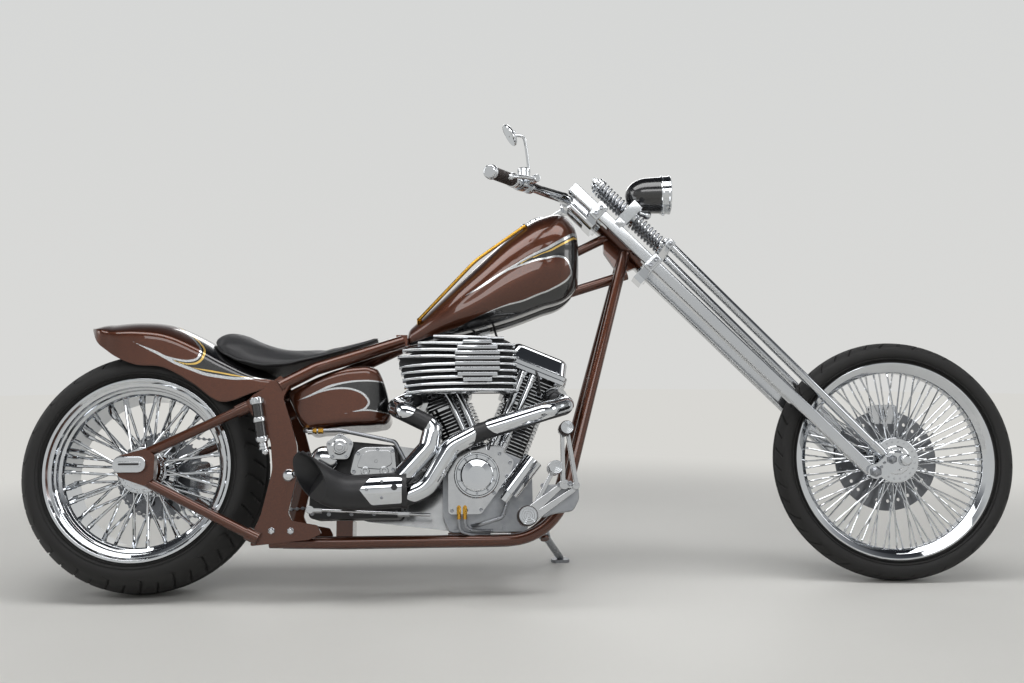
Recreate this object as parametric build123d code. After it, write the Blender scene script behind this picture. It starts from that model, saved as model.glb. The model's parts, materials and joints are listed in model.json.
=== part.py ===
from build123d import *
import math
import os

# A long custom motorcycle with a leading link fork and a V twin engine, parked on its side stand.
# All sizes are millimetres and degrees. The machine is drawn upright: X points forward, Y to the
# rider's left, Z up, the rear wheel stands on the floor at X = 0. The steered pieces are then
# turned, and at the end the whole machine leans over onto its stand.

# Stance
WHEELBASE = 2093.0
LEAN = 11.5
STEER_RIGHT = 7.2
RAKE = 44.5
AXLE_OFFSET = 84.0  # front axle ahead of the steering axis, square to it
RUNNING_GAP = 0.3
TURN_GAP = 6.0
BRAKE_GAP = 2.5

# Rear wheel
REAR_TYRE_R = 325.0
REAR_TYRE_WIDTH = 240.0
REAR_SEAT_R = 228.6
REAR_RIM_WIDTH = 216.0
REAR_SPOKES = 60
REAR_SPOKE_R = 4.0
REAR_HUB_R = 40.0
REAR_FLANGE_R = 62.0
REAR_FLANGE_Y = 68.0
REAR_AXLE_R = 12.5

# Front wheel
FRONT_TYRE_R = 338.7
FRONT_TYRE_WIDTH = 90.0
FRONT_SEAT_R = 266.7
FRONT_RIM_WIDTH = 54.6
FRONT_SPOKES = 80
FRONT_SPOKE_R = 2.4
FRONT_HUB_R = 27.0
FRONT_FLANGE_R = 64.0
FRONT_FLANGE_Y = 34.0
FRONT_AXLE_R = 10.0

# Brakes and final drive, on the left side of the wheels
DISC_THICKNESS = 6.0
FRONT_DISC_R = 146.0
FRONT_DISC_Y = 52.0
CHAIN_Y = 133.0
CHAIN_WIDTH = 14.0
CHAIN_HEIGHT = 14.0
CHAIN_GAP = 5.0
REAR_SPROCKET_R = 121.0
DRIVE_SPROCKET_R = 58.0

# Fork
LEG_Y = 78.0
LEG_SIZE = 34.0
LEG_LOW = -40.0
LEG_HIGH = 1122.0
SPRING_LEG_R = 12.5
SPRING_LEG_OFFSET = 76.0
SPRING_LEG_HIGH = 816.0
ROCKER_THICKNESS = 12.0
LOWER_TREE_S = 801.0
UPPER_TREE_S = 1018.0
TREE_THICKNESS = 30.0
SPRING_Y = 25.0
SPRING_COIL_R = 17.5
SPRING_WIRE_R = 3.2
SPRING_WIRE_SIDES = 8
SPRING_TURNS = 7
SPRING_OFFSET = 74.0
PERCH_LOW = 934.0
PERCH_HIGH = 966.0
SPRING_TOP = 1082.0
CROSS_HEIGHT = 32.0
STEM_R = 12.5

# Handlebar
BAR_R = 12.7
BAR_S = 1109.0  # along the steering axis
BAR_BEHIND = 33.0
BAR_CLAMP_Y = 40.0
BAR_CLAMP_WALL = 5.5
RISER_R = 13.0
RISER_BOSS_R = 14.0
GRIP_R = 16.5
GRIP_LENGTH = 118.0
GRIP_START = (1020.0, 362.0, 1084.0)  # X, distance from the middle, Z

# Frame
TUBE_R = 16.0
RAIL_Y = 125.0
RAIL_Z = 127.0
RAIL_REAR_X = 462.0
RAIL_CORNER_X = 1100.0
RAIL_BEND_R = 165.0
DOWN_TUBE_TOP = (1338.0, 21.0, 952.0)
SEAT_TUBE_R = 18.0
PLATE_Y = RAIL_Y + TUBE_R + RUNNING_GAP
PLATE_THICKNESS = 14.0
STAY_R = 13.0
STAY_Y = 158.0
HEAD_R = 29.0
HEAD_LOW = 822.0
HEAD_HIGH = 990.0

# Engine and transmission
CRANK = (925.0, 250.0)
CYLINDER_ANGLE = 22.5
CYLINDER_BASE = 118.0
FIN_COUNT = 9
FIN_PITCH = 15.0
FIN_THICKNESS = 4.5
BARREL_R = 52.0
CASE_HALF_WIDTH = 92.0
DRIVE_SHAFT = (610.0, 300.0)

# Tank, seat and fender skins
FENDER_WALL = 4.0
SEAT_GAP = 0.4
FENDER_STUD_Y = 133.0

REAR_AXLE = Vector(0, 0, REAR_TYRE_R)
FRONT_AXLE = Vector(WHEELBASE, 0, FRONT_TYRE_R)

# The steering axis, with the point on it that is level with the front axle
AXIS_UP = Vector(-math.sin(math.radians(RAKE)), 0, math.cos(math.radians(RAKE)))
AXIS_AHEAD = Vector(math.cos(math.radians(RAKE)), 0, math.sin(math.radians(RAKE)))
AXIS_BASE = FRONT_AXLE - Vector(AXLE_OFFSET / math.cos(math.radians(RAKE)), 0, 0)


def on_fork(s, ahead, y=0.0):
    """A point on the fork: s up the steering axis, ahead of it, and y to the left."""
    return AXIS_BASE + AXIS_UP * s + AXIS_AHEAD * ahead + Vector(0, y, 0)


def slab(points, radii, y_low, y_high):
    """A plate in a side view: an outline of X, Z corners with rounded corners, from y_low to y_high."""
    side = Plane(origin=(0, y_high, 0), x_dir=(1, 0, 0), z_dir=(0, -1, 0))
    outline = FilletPolyline(*points, radius=radii, close=True)
    return extrude(side * make_face(outline), amount=y_high - y_low)


def rod(start, end, radius):
    """A round bar between two points."""
    start, end = Vector(start), Vector(end)
    length = (end - start).length
    return extrude(Plane(origin=start, z_dir=end - start) * Circle(radius), amount=length)


def bar(start, end, sides_radius, sides):
    """A bar with flat sides between two points."""
    start, end = Vector(start), Vector(end)
    length = (end - start).length
    return extrude(
        Plane(origin=start, z_dir=end - start) * RegularPolygon(sides_radius, sides), amount=length
    )


def pipe(points, radius, bends):
    """A round tube along straight runs joined by arcs."""
    path = FilletPolyline(*points, radius=bends)
    start = Plane(origin=path @ 0, z_dir=path % 0)
    return sweep(start * Circle(radius), path=path)


def ring(profile_face, centre):
    """A turned piece: a face with X as the radius and Y as the width, spun about the wheel's axle."""
    return Pos(centre.X, centre.Y, centre.Z) * revolve(profile_face, Axis.Y)


def turned(corners, centre):
    """A turned piece from corners of radius and Y."""
    return ring(make_face(Polyline(*corners, close=True)), centre)


def both_sides(piece):
    """A piece and its mirror image on the other side of the machine."""
    return [piece, mirror(piece, about=Plane.XZ)]


def group(pieces):
    """Several solids held as one piece."""
    solids = []
    for piece in pieces:
        solids.extend(piece.solids())
    return Compound(children=solids)


def fused(pieces):
    """Several solids joined into one."""
    first = pieces[0]
    for piece in pieces[1:]:
        first = first + piece
    return first


# Wheels


def tyre(centre, outer_r, seat_r, width, rim_width, flange_r):
    """A tyre with a round crown, full side walls and a bead that fits inside the rim's flanges."""
    half = width / 2
    bead = rim_width / 2 - 1.5
    wall_r = flange_r + 2.0
    wide_r = (outer_r + flange_r) / 2 - 4.0
    shoulder_r = outer_r - width * 0.12 - 6.0
    shoulder = half * 0.92
    right = [
        Line((seat_r + RUNNING_GAP, -bead), (wall_r, -bead)),
        ThreePointArc((wall_r, -bead), (wide_r, -half), (shoulder_r, -shoulder)),
    ]
    crown = ThreePointArc((shoulder_r, -shoulder), (outer_r, 0), (shoulder_r, shoulder))
    left = [
        ThreePointArc((shoulder_r, shoulder), (wide_r, half), (wall_r, bead)),
        Line((wall_r, bead), (seat_r + RUNNING_GAP, bead)),
    ]
    seat = Line((seat_r + RUNNING_GAP, bead), (seat_r + RUNNING_GAP, -bead))
    return ring(make_face([*right, crown, *left, seat]), centre)


REAR_FLANGE_TOP = REAR_SEAT_R + 14.0
FRONT_FLANGE_TOP = FRONT_SEAT_R + 14.0
REAR_WELL_R = 203.0
FRONT_WELL_R = 250.0


def rear_rim():
    """The wide rear rim, with its stepped polished lips and a well in the middle."""
    half = REAR_RIM_WIDTH / 2
    side = [
        (REAR_WELL_R + 9, 68), (REAR_SEAT_R, 80), (REAR_SEAT_R, half), (REAR_FLANGE_TOP, half),
        (REAR_FLANGE_TOP, half + 6), (REAR_SEAT_R + 7, half + 6), (REAR_SEAT_R + 1, half - 1),
        (REAR_SEAT_R - 7, half - 3), (REAR_SEAT_R - 8, half - 17), (REAR_SEAT_R - 13, half - 19),
        (REAR_SEAT_R - 14, half - 32), (REAR_WELL_R + 4, half - 36), (REAR_WELL_R, 62),
    ]
    other = [(r, -y) for r, y in reversed(side)]
    return turned(side + other, REAR_AXLE)


def front_rim():
    """The narrow front rim."""
    half = FRONT_RIM_WIDTH / 2
    side = [
        (FRONT_WELL_R + 6, 12), (FRONT_SEAT_R, 17), (FRONT_SEAT_R, half), (FRONT_FLANGE_TOP, half),
        (FRONT_FLANGE_TOP, half + 4.5), (FRONT_FLANGE_TOP - 5, half + 5), (FRONT_SEAT_R - 4, half),
        (FRONT_WELL_R + 2, 17), (FRONT_WELL_R, 12),
    ]
    other = [(r, -y) for r, y in reversed(side)]
    return turned(side + other, FRONT_AXLE)


def spoked_hub(centre, hub_r, flange_r, flange_y, bore_r, rim, well_r, count, spoke_r, spread, rim_y):
    """A hub with two flanges and its crossed spokes, which end on the rim."""
    nose = flange_y + 8
    profile = [
        (bore_r, -nose), (hub_r * 0.8, -nose), (hub_r, -flange_y - 3), (flange_r, -flange_y - 3),
        (flange_r, -flange_y + 3), (hub_r, -flange_y + 10), (hub_r * 0.85, 0), (hub_r, flange_y - 10),
        (flange_r, flange_y - 3), (flange_r, flange_y + 3), (hub_r, flange_y + 3), (hub_r * 0.8, nose),
        (bore_r, nose),
    ]
    hub = turned(profile, centre)
    spokes = []
    foot_r = flange_r - 2 * spoke_r
    for index in range(count):
        side = 1 if index % 2 else -1
        lean = spread if index % 4 < 2 else -spread
        foot = math.radians(index * 360 / count)
        tip = foot + math.radians(lean)
        start = centre + Vector(foot_r * math.cos(foot), side * flange_y, foot_r * math.sin(foot))
        end = centre + Vector(
            (well_r + 3) * math.cos(tip),
            side * rim_y * (0.45 if index % 4 < 2 else 1),
            (well_r + 3) * math.sin(tip)
        )
        spokes.append(bar(start, end, spoke_r, 6))
    trimmed = Compound(children=[s.solid() for s in spokes]).cut(rim)
    reach = [s for s in trimmed.solids() if (s.center() - centre).length < well_r]
    return Compound(children=[hub.solid(), *[s.cut(hub).solids().sort_by(SortBy.VOLUME)[-1] for s in reach]])


def disc(centre, y, outer_r, inner_r, thickness, holes, hole_r, ring_r):
    """A flat ring with holes round it, for a brake disc or a sprocket."""
    plane = Plane(origin=(centre.X, y - thickness / 2, centre.Z), x_dir=(1, 0, 0), z_dir=(0, 1, 0))
    face = Circle(outer_r) - Circle(inner_r) - PolarLocations(ring_r, holes) * Circle(hole_r)
    return extrude(plane * face, amount=thickness)


# Frame


def side_plate():
    """The sculpted upright that ties the seat tube, the stays and the lower rail together."""
    outline = [
        (372, 566), (398, 545), (381, 506), (402, 444), (421, 378), (421, 290), (403, 205), (413, 184),
        (478, 172), (490, 150), (458, 135), (310, 121), (309, 142), (333, 200), (359, 317), (351, 396),
        (296, 468), (279, 491), (303, 515), (322, 527),
    ]
    radii = [3, 6, 14, 60, 60, 60, 12, 8, 8, 6, 6, 4, 6, 30, 90, 60, 8, 8, 6, 8]
    plate = slab(outline, radii, -PLATE_Y - PLATE_THICKNESS, -PLATE_Y)
    fender_stud = rod((346, -FENDER_STUD_Y, 548), (346, -PLATE_Y - 2, 548), 7)
    return plate + fender_stud


SEAT_TUBE = [(368, -PLATE_Y - 6, 536), (458, -112, 592), (572, -76, 636), (690, -36, 683)]  # X, Y, Z


def seat_tube(radius):
    """The tube that runs from the upright past the seat to the backbone."""
    return pipe(SEAT_TUBE, radius, 90)


def lower_rail():
    """The rail under the engine, which turns up in front into the down tube."""
    points = [
        (RAIL_REAR_X - 110, -RAIL_Y + 14, RAIL_Z + 4), (RAIL_REAR_X + 60, -RAIL_Y, RAIL_Z),
        (RAIL_CORNER_X, -RAIL_Y + 8, RAIL_Z), (DOWN_TUBE_TOP[0], -DOWN_TUBE_TOP[1], DOWN_TUBE_TOP[2]),
    ]
    return pipe(points, TUBE_R, [200, RAIL_BEND_R])


def stays():
    """The two stays of one side, with the plate that carries the axle."""
    upper = pipe([(20, -STAY_Y, 356), (200, -STAY_Y, 440), (272, -STAY_Y, 474)], STAY_R, 400)
    lower = rod((20, -STAY_Y, 298), (316, -STAY_Y, 146), STAY_R)
    outline = [(-42, 352), (-30, 300), (38, 276), (60, 296), (60, 356), (34, 372)]
    plate = slab(outline, [18, 18, 10, 10, 10, 10], -STAY_Y - STAY_R - 2, -STAY_Y + STAY_R)
    lug = rod((262, -STAY_Y, 469), (292, -STAY_Y, 483), STAY_R + 4)
    foot = rod((300, -STAY_Y, 154), (330, -STAY_Y, 139), STAY_R + 4)
    axle_hole = rod((0, -STAY_Y - 40, REAR_AXLE.Z), (0, -STAY_Y + 40, REAR_AXLE.Z), REAR_AXLE_R + 0.1)
    return fused([plate, upper, lower, lug, foot]) - axle_hole


UPPER_TUBE = [(1180, 0, 952), (1309, 0, 1016)]
MAIN_TUBE = [(690, 0, 681), (1345, 0, 892)]
MAIN_TUBE_R = 15.0


def backbone():
    """The main tube under the fuel tank with the head tube, its gusset and the short upper tube."""
    tube = rod(*MAIN_TUBE, MAIN_TUBE_R)
    joint = Pos(688, 0, 688) * Box(32, 62, 32)
    head = rod(on_fork(HEAD_LOW, 0), on_fork(HEAD_HIGH, 0), HEAD_R)
    upper = rod(*UPPER_TUBE, 14.0)
    web_points = [
        on_fork(HEAD_LOW + 8, -24), on_fork(HEAD_HIGH - 20, -24), on_fork(930, -62), on_fork(852, -78)
    ]
    web = slab([(p.X, p.Z) for p in web_points], [2, 2, 12, 8], -9, 9)
    bore = rod(on_fork(HEAD_LOW - 10, 0), on_fork(HEAD_HIGH + 10, 0), STEM_R + RUNNING_GAP)
    return fused([head, upper, web, tube, joint]) - bore


def rail_ties():
    """Cross tubes between the lower rails, with the pads under the engine and the gearbox."""
    ties = []
    for x, top in [(540, 186), (840, 150), (1010, 150)]:
        tube = rod((x, -RAIL_Y + TUBE_R + 1, RAIL_Z), (x, RAIL_Y - TUBE_R - 1, RAIL_Z), 11.0)
        pad = Pos(x, 0, (RAIL_Z + top) / 2) * Box(44, 120, top - RAIL_Z)
        ties.append(tube + pad)
    return ties


# Engine


def cylinder_plane(lean, distance):
    """A plane square to a cylinder's axis, at a distance from the crankshaft; its x runs outwards."""
    angle = math.radians(lean)
    along = Vector(math.sin(angle), 0, math.cos(angle))
    across = Vector(math.cos(angle), 0, -math.sin(angle))
    origin = Vector(CRANK[0], 0, CRANK[1]) + along * distance
    return Plane(origin=origin, x_dir=across * (1 if lean > 0 else -1), z_dir=along)


def engine_cylinder(lean):
    """A barrel and its head with their cooling fins."""
    deck = cylinder_plane(lean, CYLINDER_BASE + 4)
    body = extrude(deck * Circle(BARREL_R), amount=150)
    head = extrude(cylinder_plane(lean, 268) * RectangleRounded(124, 112, 20), amount=86)
    pieces = [body + head]
    for index in range(FIN_COUNT):
        plane = cylinder_plane(lean, CYLINDER_BASE + 14 + index * FIN_PITCH)
        pieces.append(extrude(plane * RectangleRounded(128, 126, 34), amount=FIN_THICKNESS))
    for index in range(5):
        plane = cylinder_plane(lean, 272 + index * FIN_PITCH)
        pieces.append(extrude(plane * (Pos(4, 0) * RectangleRounded(152, 134, 26)), amount=FIN_THICKNESS))
    half_space = Pos(CRANK[0] + math.copysign(201, lean), 0, CRANK[1] + 250) * Box(400, 300, 500)
    return fused(pieces) & half_space


def rocker_box(lean):
    """The two stepped covers on top of a head."""
    low = extrude(cylinder_plane(lean, 354.5) * (Pos(-4, 0) * RectangleRounded(190, 172, 18)), amount=26)
    high = extrude(
        cylinder_plane(lean, 380.5) * (Pos(-6, 0) * RectangleRounded(178, 160, 20)), amount=48, taper=14
    )
    return low + high


def crankcase():
    """The crankcase, with the decks that carry the two cylinders."""
    outline = [
        (822, 150), (1028, 150), (1046, 196), (1046, 290), (1030, 338), (925, 382), (820, 338),
        (804, 290), (804, 196),
    ]
    return slab(outline, [16, 16, 20, 40, 4, 4, 4, 40, 20], -CASE_HALF_WIDTH, CASE_HALF_WIDTH)


def gearcase_cover():
    """The flat cover over the camshaft gears, with its round cap."""
    outline = [(818, 345), (836, 364), (958, 366), (996, 336), (984, 300), (905, 196), (818, 196)]
    plate = slab(outline, [14, 10, 16, 14, 30, 14, 10], -CASE_HALF_WIDTH - 34, -CASE_HALF_WIDTH)
    cap = rod((894, -CASE_HALF_WIDTH - 34, 298), (894, -CASE_HALF_WIDTH - 46, 298), 60)
    dome = rod((894, -CASE_HALF_WIDTH - 46, 298), (894, -CASE_HALF_WIDTH - 56, 298), 42)
    return fused([plate, cap, fillet(dome.edges().group_by(Axis.Y)[0], 6)])


PUSHRODS = [(938, 385, 1028), (962, 380, 1056), (912, 385, 822), (888, 380, 794)]  # foot X, foot Z, top X


def pushrod_tubes():
    """The four bright tubes that run from the gearcase up to the rocker boxes."""
    tubes = []
    for foot_x, foot_z, top_x in PUSHRODS:
        top_z = CRANK[1] + (352 - math.sin(math.radians(CYLINDER_ANGLE)) * abs(top_x - CRANK[0])) / math.cos(
            math.radians(CYLINDER_ANGLE)
        )
        foot, top = Vector(foot_x, -86, foot_z - 16), Vector(top_x, -78, top_z)
        tube = rod(foot, top, 9.5)
        collar = rod(foot, foot + (top - foot).normalized() * 40, 13.0)
        tubes.append(tube + collar)
    return tubes


def air_cleaner():
    """A back plate with the long curved louvres of the air cleaner and its eight sided cover."""
    back_y = -150.0
    back = slab(
        [(672, 604), (784, 656), (962, 668), (1002, 650), (1000, 512), (712, 512)], 10, back_y - 6, back_y
    )
    spigot = rod((CRANK[0], 26, 590), (CRANK[0], back_y, 590), 31)
    manifold = rod((CRANK[0] - 90, 0, 584), (CRANK[0] + 90, 0, 584), 21)
    ribs = []
    for index in range(9):
        z = 516 + index * 17.5
        left = 708 - index * 5.5 if z < 600 else 684 + (z - 600) * 1.9
        right = 1000 - max(0, z - 640) * 1.5
        rib = slab([(left, z + 8), (left, z), (right, z), (right, z + 8)], 3.5, back_y - 48, back_y - 6)
        ribs.append(rib)
    plane = Plane(origin=(896, back_y - 6, 596), x_dir=(1, 0, 0), z_dir=(0, -1, 0))
    cover = extrude(plane * RegularPolygon(62, 8), amount=48)
    return fused([back, cover, *ribs]), spigot + manifold


# Exhaust
REAR_PIPE = [
    (736, -40, 524), (676, -120, 482), (704, -176, 462), (780, -180, 424), (766, -186, 366), (690, -188, 282),
]
FRONT_PIPE = [
    (1108, -40, 520), (1142, -120, 486), (1080, -186, 462), (900, -190, 406), (826, -190, 368), (
        762, -190, 262
    ),
    (690, -190, 232),
]
MUFFLER = [(700, -188, 258), (540, -190, 250), (420, -240, 318)]
PIPE_R = 24.0
MUFFLER_R = 46.0


def header_pipe(points, bends):
    """One header pipe from its cylinder's port to the muffler."""
    return pipe(points, PIPE_R, bends)


def muffler_core():
    """The filled form of the muffler."""
    return pipe(MUFFLER, MUFFLER_R, 110)


def muffler():
    """The black muffler, turned out and up, with its slash cut mouth."""
    outer = muffler_core()
    end, back = Vector(MUFFLER[-1]), Vector(MUFFLER[-2])
    inner = rod(back + (end - back) * 0.45, end + (end - back) * 0.1, MUFFLER_R - 3)
    cut_plane = Plane(origin=(474, -226, 282), z_dir=(-0.62, -0.74, -0.26))
    knife = extrude(cut_plane * Rectangle(600, 600), amount=300)
    return (outer - inner) - knife


# Running gear pieces beside the engine


def transmission():
    """The gearbox with its polished covers on the right."""
    case = slab(
        [(446, 190), (690, 190), (700, 290), (684, 384), (560, 396), (452, 372)], [14, 14, 20, 14, 14, 20],
        -84, 88
    )
    side = slab(
        [(552, 300), (566, 366), (590, 382), (680, 382), (688, 306), (620, 286)], [10, 16, 10, 10, 12, 10],
        -118, -84
    )
    hub_cover = rod((530, -84, 376), (530, -126, 376), 32)
    dome = rod((488, -84, 344), (488, -128, 344), 36)
    dome = fillet(dome.edges().group_by(Axis.Y)[0], 12)
    return fused([case, side, hub_cover, dome])


PRIMARY_Y = 142.0


def primary_cover():
    """The long primary drive cover on the left, from the crankshaft to the clutch."""
    outline = [(1028, 352), (1034, 160), (820, 160), (520, 196), (500, 400), (640, 412)]
    cover = slab(outline, [92, 88, 60, 96, 96, 40], PRIMARY_Y, PRIMARY_Y + 66)
    cover = fillet(cover.edges().group_by(Axis.Y)[-1], 12)
    crank_boss = rod((CRANK[0], CASE_HALF_WIDTH, CRANK[1]), (CRANK[0], PRIMARY_Y, CRANK[1]), 70)
    shaft = rod((DRIVE_SHAFT[0], 88, DRIVE_SHAFT[1]), (DRIVE_SHAFT[0], PRIMARY_Y, DRIVE_SHAFT[1]), 18)
    return fused([cover, crank_boss, shaft])


def oil_filter():
    """The slanting oil filter beside the gearcase."""
    low, high = Vector(978, -156, 250), Vector(1044, -156, 336)
    can = rod(low, high, 27)
    way = (high - low).normalized()
    nut = bar(low - way * 26, low, 12, 6)
    boss = rod((1011, -CASE_HALF_WIDTH, 293), (1011, low.Y, 293), 18)
    return fused([can, nut, boss])


SIGHT_TUBE = [(738, -56, 744), (896, -92, 906), (1040, -82, 1014)]


def sight_tube():
    """The brass level tube along the upper edge of the tank, with the fittings it stands on."""
    tube = pipe(SIGHT_TUBE, 5.0, 200)
    inward = Vector(0, 16, -12)
    fittings = [rod(Vector(point), Vector(point) + inward, 7) for point in (SIGHT_TUBE[0], SIGHT_TUBE[-1])]
    return fused([tube, *fittings])


OIL_TANK = [
    (382, 530), (500, 590), (560, 606), (612, 606), (632, 590), (664, 470), (656, 446), (600, 440), (426, 428)
]


def oil_tank():
    """The oil tank under the seat."""
    body = slab(OIL_TANK, [16, 40, 40, 20, 20, 16, 20, 60, 24], -104, 104)
    ends = body.edges().group_by(Axis.Y)
    return fillet([*ends[0], *ends[-1]], 14)


# Bodywork made of sections along X: crown height, shoulder height, low edge, half width
FENDER_SECTIONS = [
    (-176, 702, 690, 684, 56),
    (-140, 721, 692, 670, 108),
    (-90, 735, 690, 625, 134),
    (-20, 740, 688, 602, 141),
    (60, 731, 678, 592, 142),
    (140, 697, 644, 548, 142),
    (210, 657, 606, 500, 142),
    (300, 607, 566, 524, 138),
    (366, 574, 556, 548, 128),
]


def fender_solid(grow, beyond=0.0):
    """The rear fender as a filled form, grown by a wall and run on beyond its ends and low edge."""
    faces = []
    last = len(FENDER_SECTIONS) - 1
    for index, (x, crown, shoulder, low, half) in enumerate(FENDER_SECTIONS):
        w, top, bottom = half + grow, crown + grow, low - beyond
        end = -beyond if index == 0 else beyond if index == last else 0
        sides = [
            Line((-w, bottom), (-w, shoulder)),
            ThreePointArc((-w, shoulder), (0, top), (w, shoulder)),
            Line((w, shoulder), (w, bottom)),
            Line((w, bottom), (-w, bottom)),
        ]
        plane = Plane(origin=(x + end, 0, 0), x_dir=(0, 1, 0), z_dir=(1, 0, 0))
        faces.append(plane * make_face(sides))
    return loft(faces)


def rear_fender():
    """The fender skin with its open underside."""
    return fender_solid(0) - fender_solid(-FENDER_WALL, 12)


TANK_SECTIONS = [  # X, floor, crown, half width, height of the widest line
    (706, 672, 717, 40, 692),
    (800, 692, 804, 88, 740),
    (900, 715, 904, 110, 796),
    (1000, 744, 997, 121, 866),
    (1090, 778, 1055, 119, 912),
    (1160, 806, 1063, 100, 934),
    (1197, 842, 1030, 66, 942),
]
TANK_SHOULDER = (0.70, 0.82)  # shares of the half width and of the rise from the widest line to the crown


def fuel_tank():
    """The long tank that climbs to the neck, with the tunnel for the backbone."""
    faces = []
    for x, floor, crown, half, widest in TANK_SECTIONS:
        low_half = half * 0.62
        out, up = half * TANK_SHOULDER[0], widest + (crown - widest) * TANK_SHOULDER[1]
        edges = [
            Line((-low_half, floor), (low_half, floor)),
            ThreePointArc((low_half, floor), (half * 0.93, (floor * 1.4 + widest) / 2.4), (half, widest)),
            ThreePointArc((half, widest), (out, up), (0, crown)),
            ThreePointArc((0, crown), (-out, up), (-half, widest)),
            ThreePointArc((-half, widest), (-half * 0.93, (floor * 1.4 + widest) / 2.4), (-low_half, floor)),
        ]
        plane = Plane(origin=(x, 0, 0), x_dir=(0, 1, 0), z_dir=(1, 0, 0))
        faces.append(plane * make_face(edges))
    body = loft(faces)
    (low_x, _, low_z), (high_x, _, high_z) = MAIN_TUBE
    rise = (high_z - low_z) / (high_x - low_x)
    lift = (MAIN_TUBE_R + RUNNING_GAP) * math.hypot(1, rise)
    half = MAIN_TUBE_R + RUNNING_GAP
    roof = [(low_x - 50, low_z - 50 * rise + lift), (high_x, high_z + lift)]
    tunnel = slab([(low_x - 50, 560), *roof, (high_x, 560)], 0, -half, half)
    upper_way = rod((1150, 0, 936), (1320, 0, 1022), 17.0)
    return body - tunnel - upper_way


SEAT_SECTIONS = [  # X, underside, crown, half width
    (172, 640, 700, 64),
    (205, 630, 711, 108),
    (245, 612, 705, 122),
    (300, 596, 679, 126),
    (360, 596, 660, 122),
    (440, 616, 657, 106),
    (510, 640, 666, 86),
    (575, 664, 684, 62),
    (628, 690, 697, 36),
]


def seat():
    """The seat, which saddles the front of the fender and rests on the seat tubes."""
    faces = []
    for x, floor, crown, half in SEAT_SECTIONS:
        edge = floor + (crown - floor) * 0.3
        edges = [
            Line((-half, floor), (half, floor)),
            Line((half, floor), (half, edge)),
            ThreePointArc((half, edge), (0, crown), (-half, edge)),
            Line((-half, edge), (-half, floor)),
        ]
        plane = Plane(origin=(x, 0, 0), x_dir=(0, 1, 0), z_dir=(1, 0, 0))
        faces.append(plane * make_face(edges))
    body = loft(faces)
    return body - fender_solid(SEAT_GAP, 0.5)


# Final drive and brakes


def drive_band(height):
    """The outline that wraps both sprockets, at a height above the chain's inner side."""
    rear = Pos(0, REAR_TYRE_R) * Circle(REAR_SPROCKET_R + CHAIN_GAP + height)
    front = Pos(*DRIVE_SHAFT) * Circle(DRIVE_SPROCKET_R + RUNNING_GAP + height)
    return make_hull([*rear.edges(), *front.edges()])


def drive_chain():
    """The chain as one closed band round both sprockets."""
    side = Plane(origin=(0, CHAIN_Y + CHAIN_WIDTH / 2, 0), x_dir=(1, 0, 0), z_dir=(0, -1, 0))
    band = drive_band(CHAIN_HEIGHT) - drive_band(0)
    return extrude(side * band, amount=CHAIN_WIDTH)


def drive_sprocket():
    """The small sprocket behind the primary cover."""
    x, z = DRIVE_SHAFT
    wheel = rod((x, CHAIN_Y - 4, z), (x, CHAIN_Y + 4, z), DRIVE_SPROCKET_R)
    shaft = rod((x, 80, z), (x, 150, z), 18)
    return wheel - shaft


def rear_sprocket():
    """The rear sprocket on its carrier."""
    wheel = disc(REAR_AXLE, CHAIN_Y, REAR_SPROCKET_R, REAR_AXLE_R + 20, DISC_THICKNESS, 10, 8, 62)
    carrier = turned(
        [
            (REAR_AXLE_R + RUNNING_GAP, REAR_FLANGE_Y + 8), (REAR_AXLE_R + 28, REAR_FLANGE_Y + 8),
            (REAR_AXLE_R + 28, CHAIN_Y - 3.5), (REAR_AXLE_R + 34, CHAIN_Y - 3.5), (
                REAR_AXLE_R + 34, CHAIN_Y + 7
            ),
            (REAR_AXLE_R + RUNNING_GAP, CHAIN_Y + 7),
        ],
        REAR_AXLE,
    )
    return wheel + carrier


def front_disc():
    """The front brake disc on the left of the hub."""
    outer_face = FRONT_DISC_Y + DISC_THICKNESS / 2
    hub_face = FRONT_FLANGE_Y + 3 + RUNNING_GAP
    bell = turned([(29, hub_face), (40, hub_face), (40, outer_face), (29, outer_face)], FRONT_AXLE)
    return disc(FRONT_AXLE, FRONT_DISC_Y, FRONT_DISC_R, 36.0, DISC_THICKNESS, 24, 5, 118) + bell


def caliper(centre, disc_y, angle, disc_r):
    """A brake caliper that straddles a disc's edge, at an angle round the axle."""
    half_gap = DISC_THICKNESS / 2 + BRAKE_GAP
    inner, outer = disc_y - half_gap - 8, disc_y + half_gap + 20
    block = Pos(disc_r - 12, 0, (inner + outer) / 2) * Box(56, 80, outer - inner)
    block = fillet(block.edges().filter_by(Axis.Z), 14)
    slot = Pos(disc_r - 38, 0, disc_y) * Box(90, 120, 2 * half_gap)
    turn = Plane(
        origin=(centre.X, 0, centre.Z), x_dir=(math.cos(angle), 0, math.sin(angle)), z_dir=(0, -1, 0)
    )
    return (turn * mirror(block - slot, about=Plane.XY)).solid()


def front_caliper():
    """The front caliper on its arm, which sits on the axle between the wheel and the left rocker."""
    inner = FRONT_DISC_Y + DISC_THICKNESS / 2 + BRAKE_GAP
    x, z = FRONT_AXLE.X, FRONT_AXLE.Z
    arm = slab([(x - 18, z), (x - 26, z + 112), (x + 26, z + 112), (x + 18, z)], 4, inner, inner + 14)
    eye = rod((x, inner, z), (x, inner + 14, z), 20)
    bore = rod((x, inner - 5, z), (x, inner + 30, z), FRONT_AXLE_R + 0.1)
    return fused([caliper(FRONT_AXLE, FRONT_DISC_Y, math.radians(90), FRONT_DISC_R), arm, eye]) - bore


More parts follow.
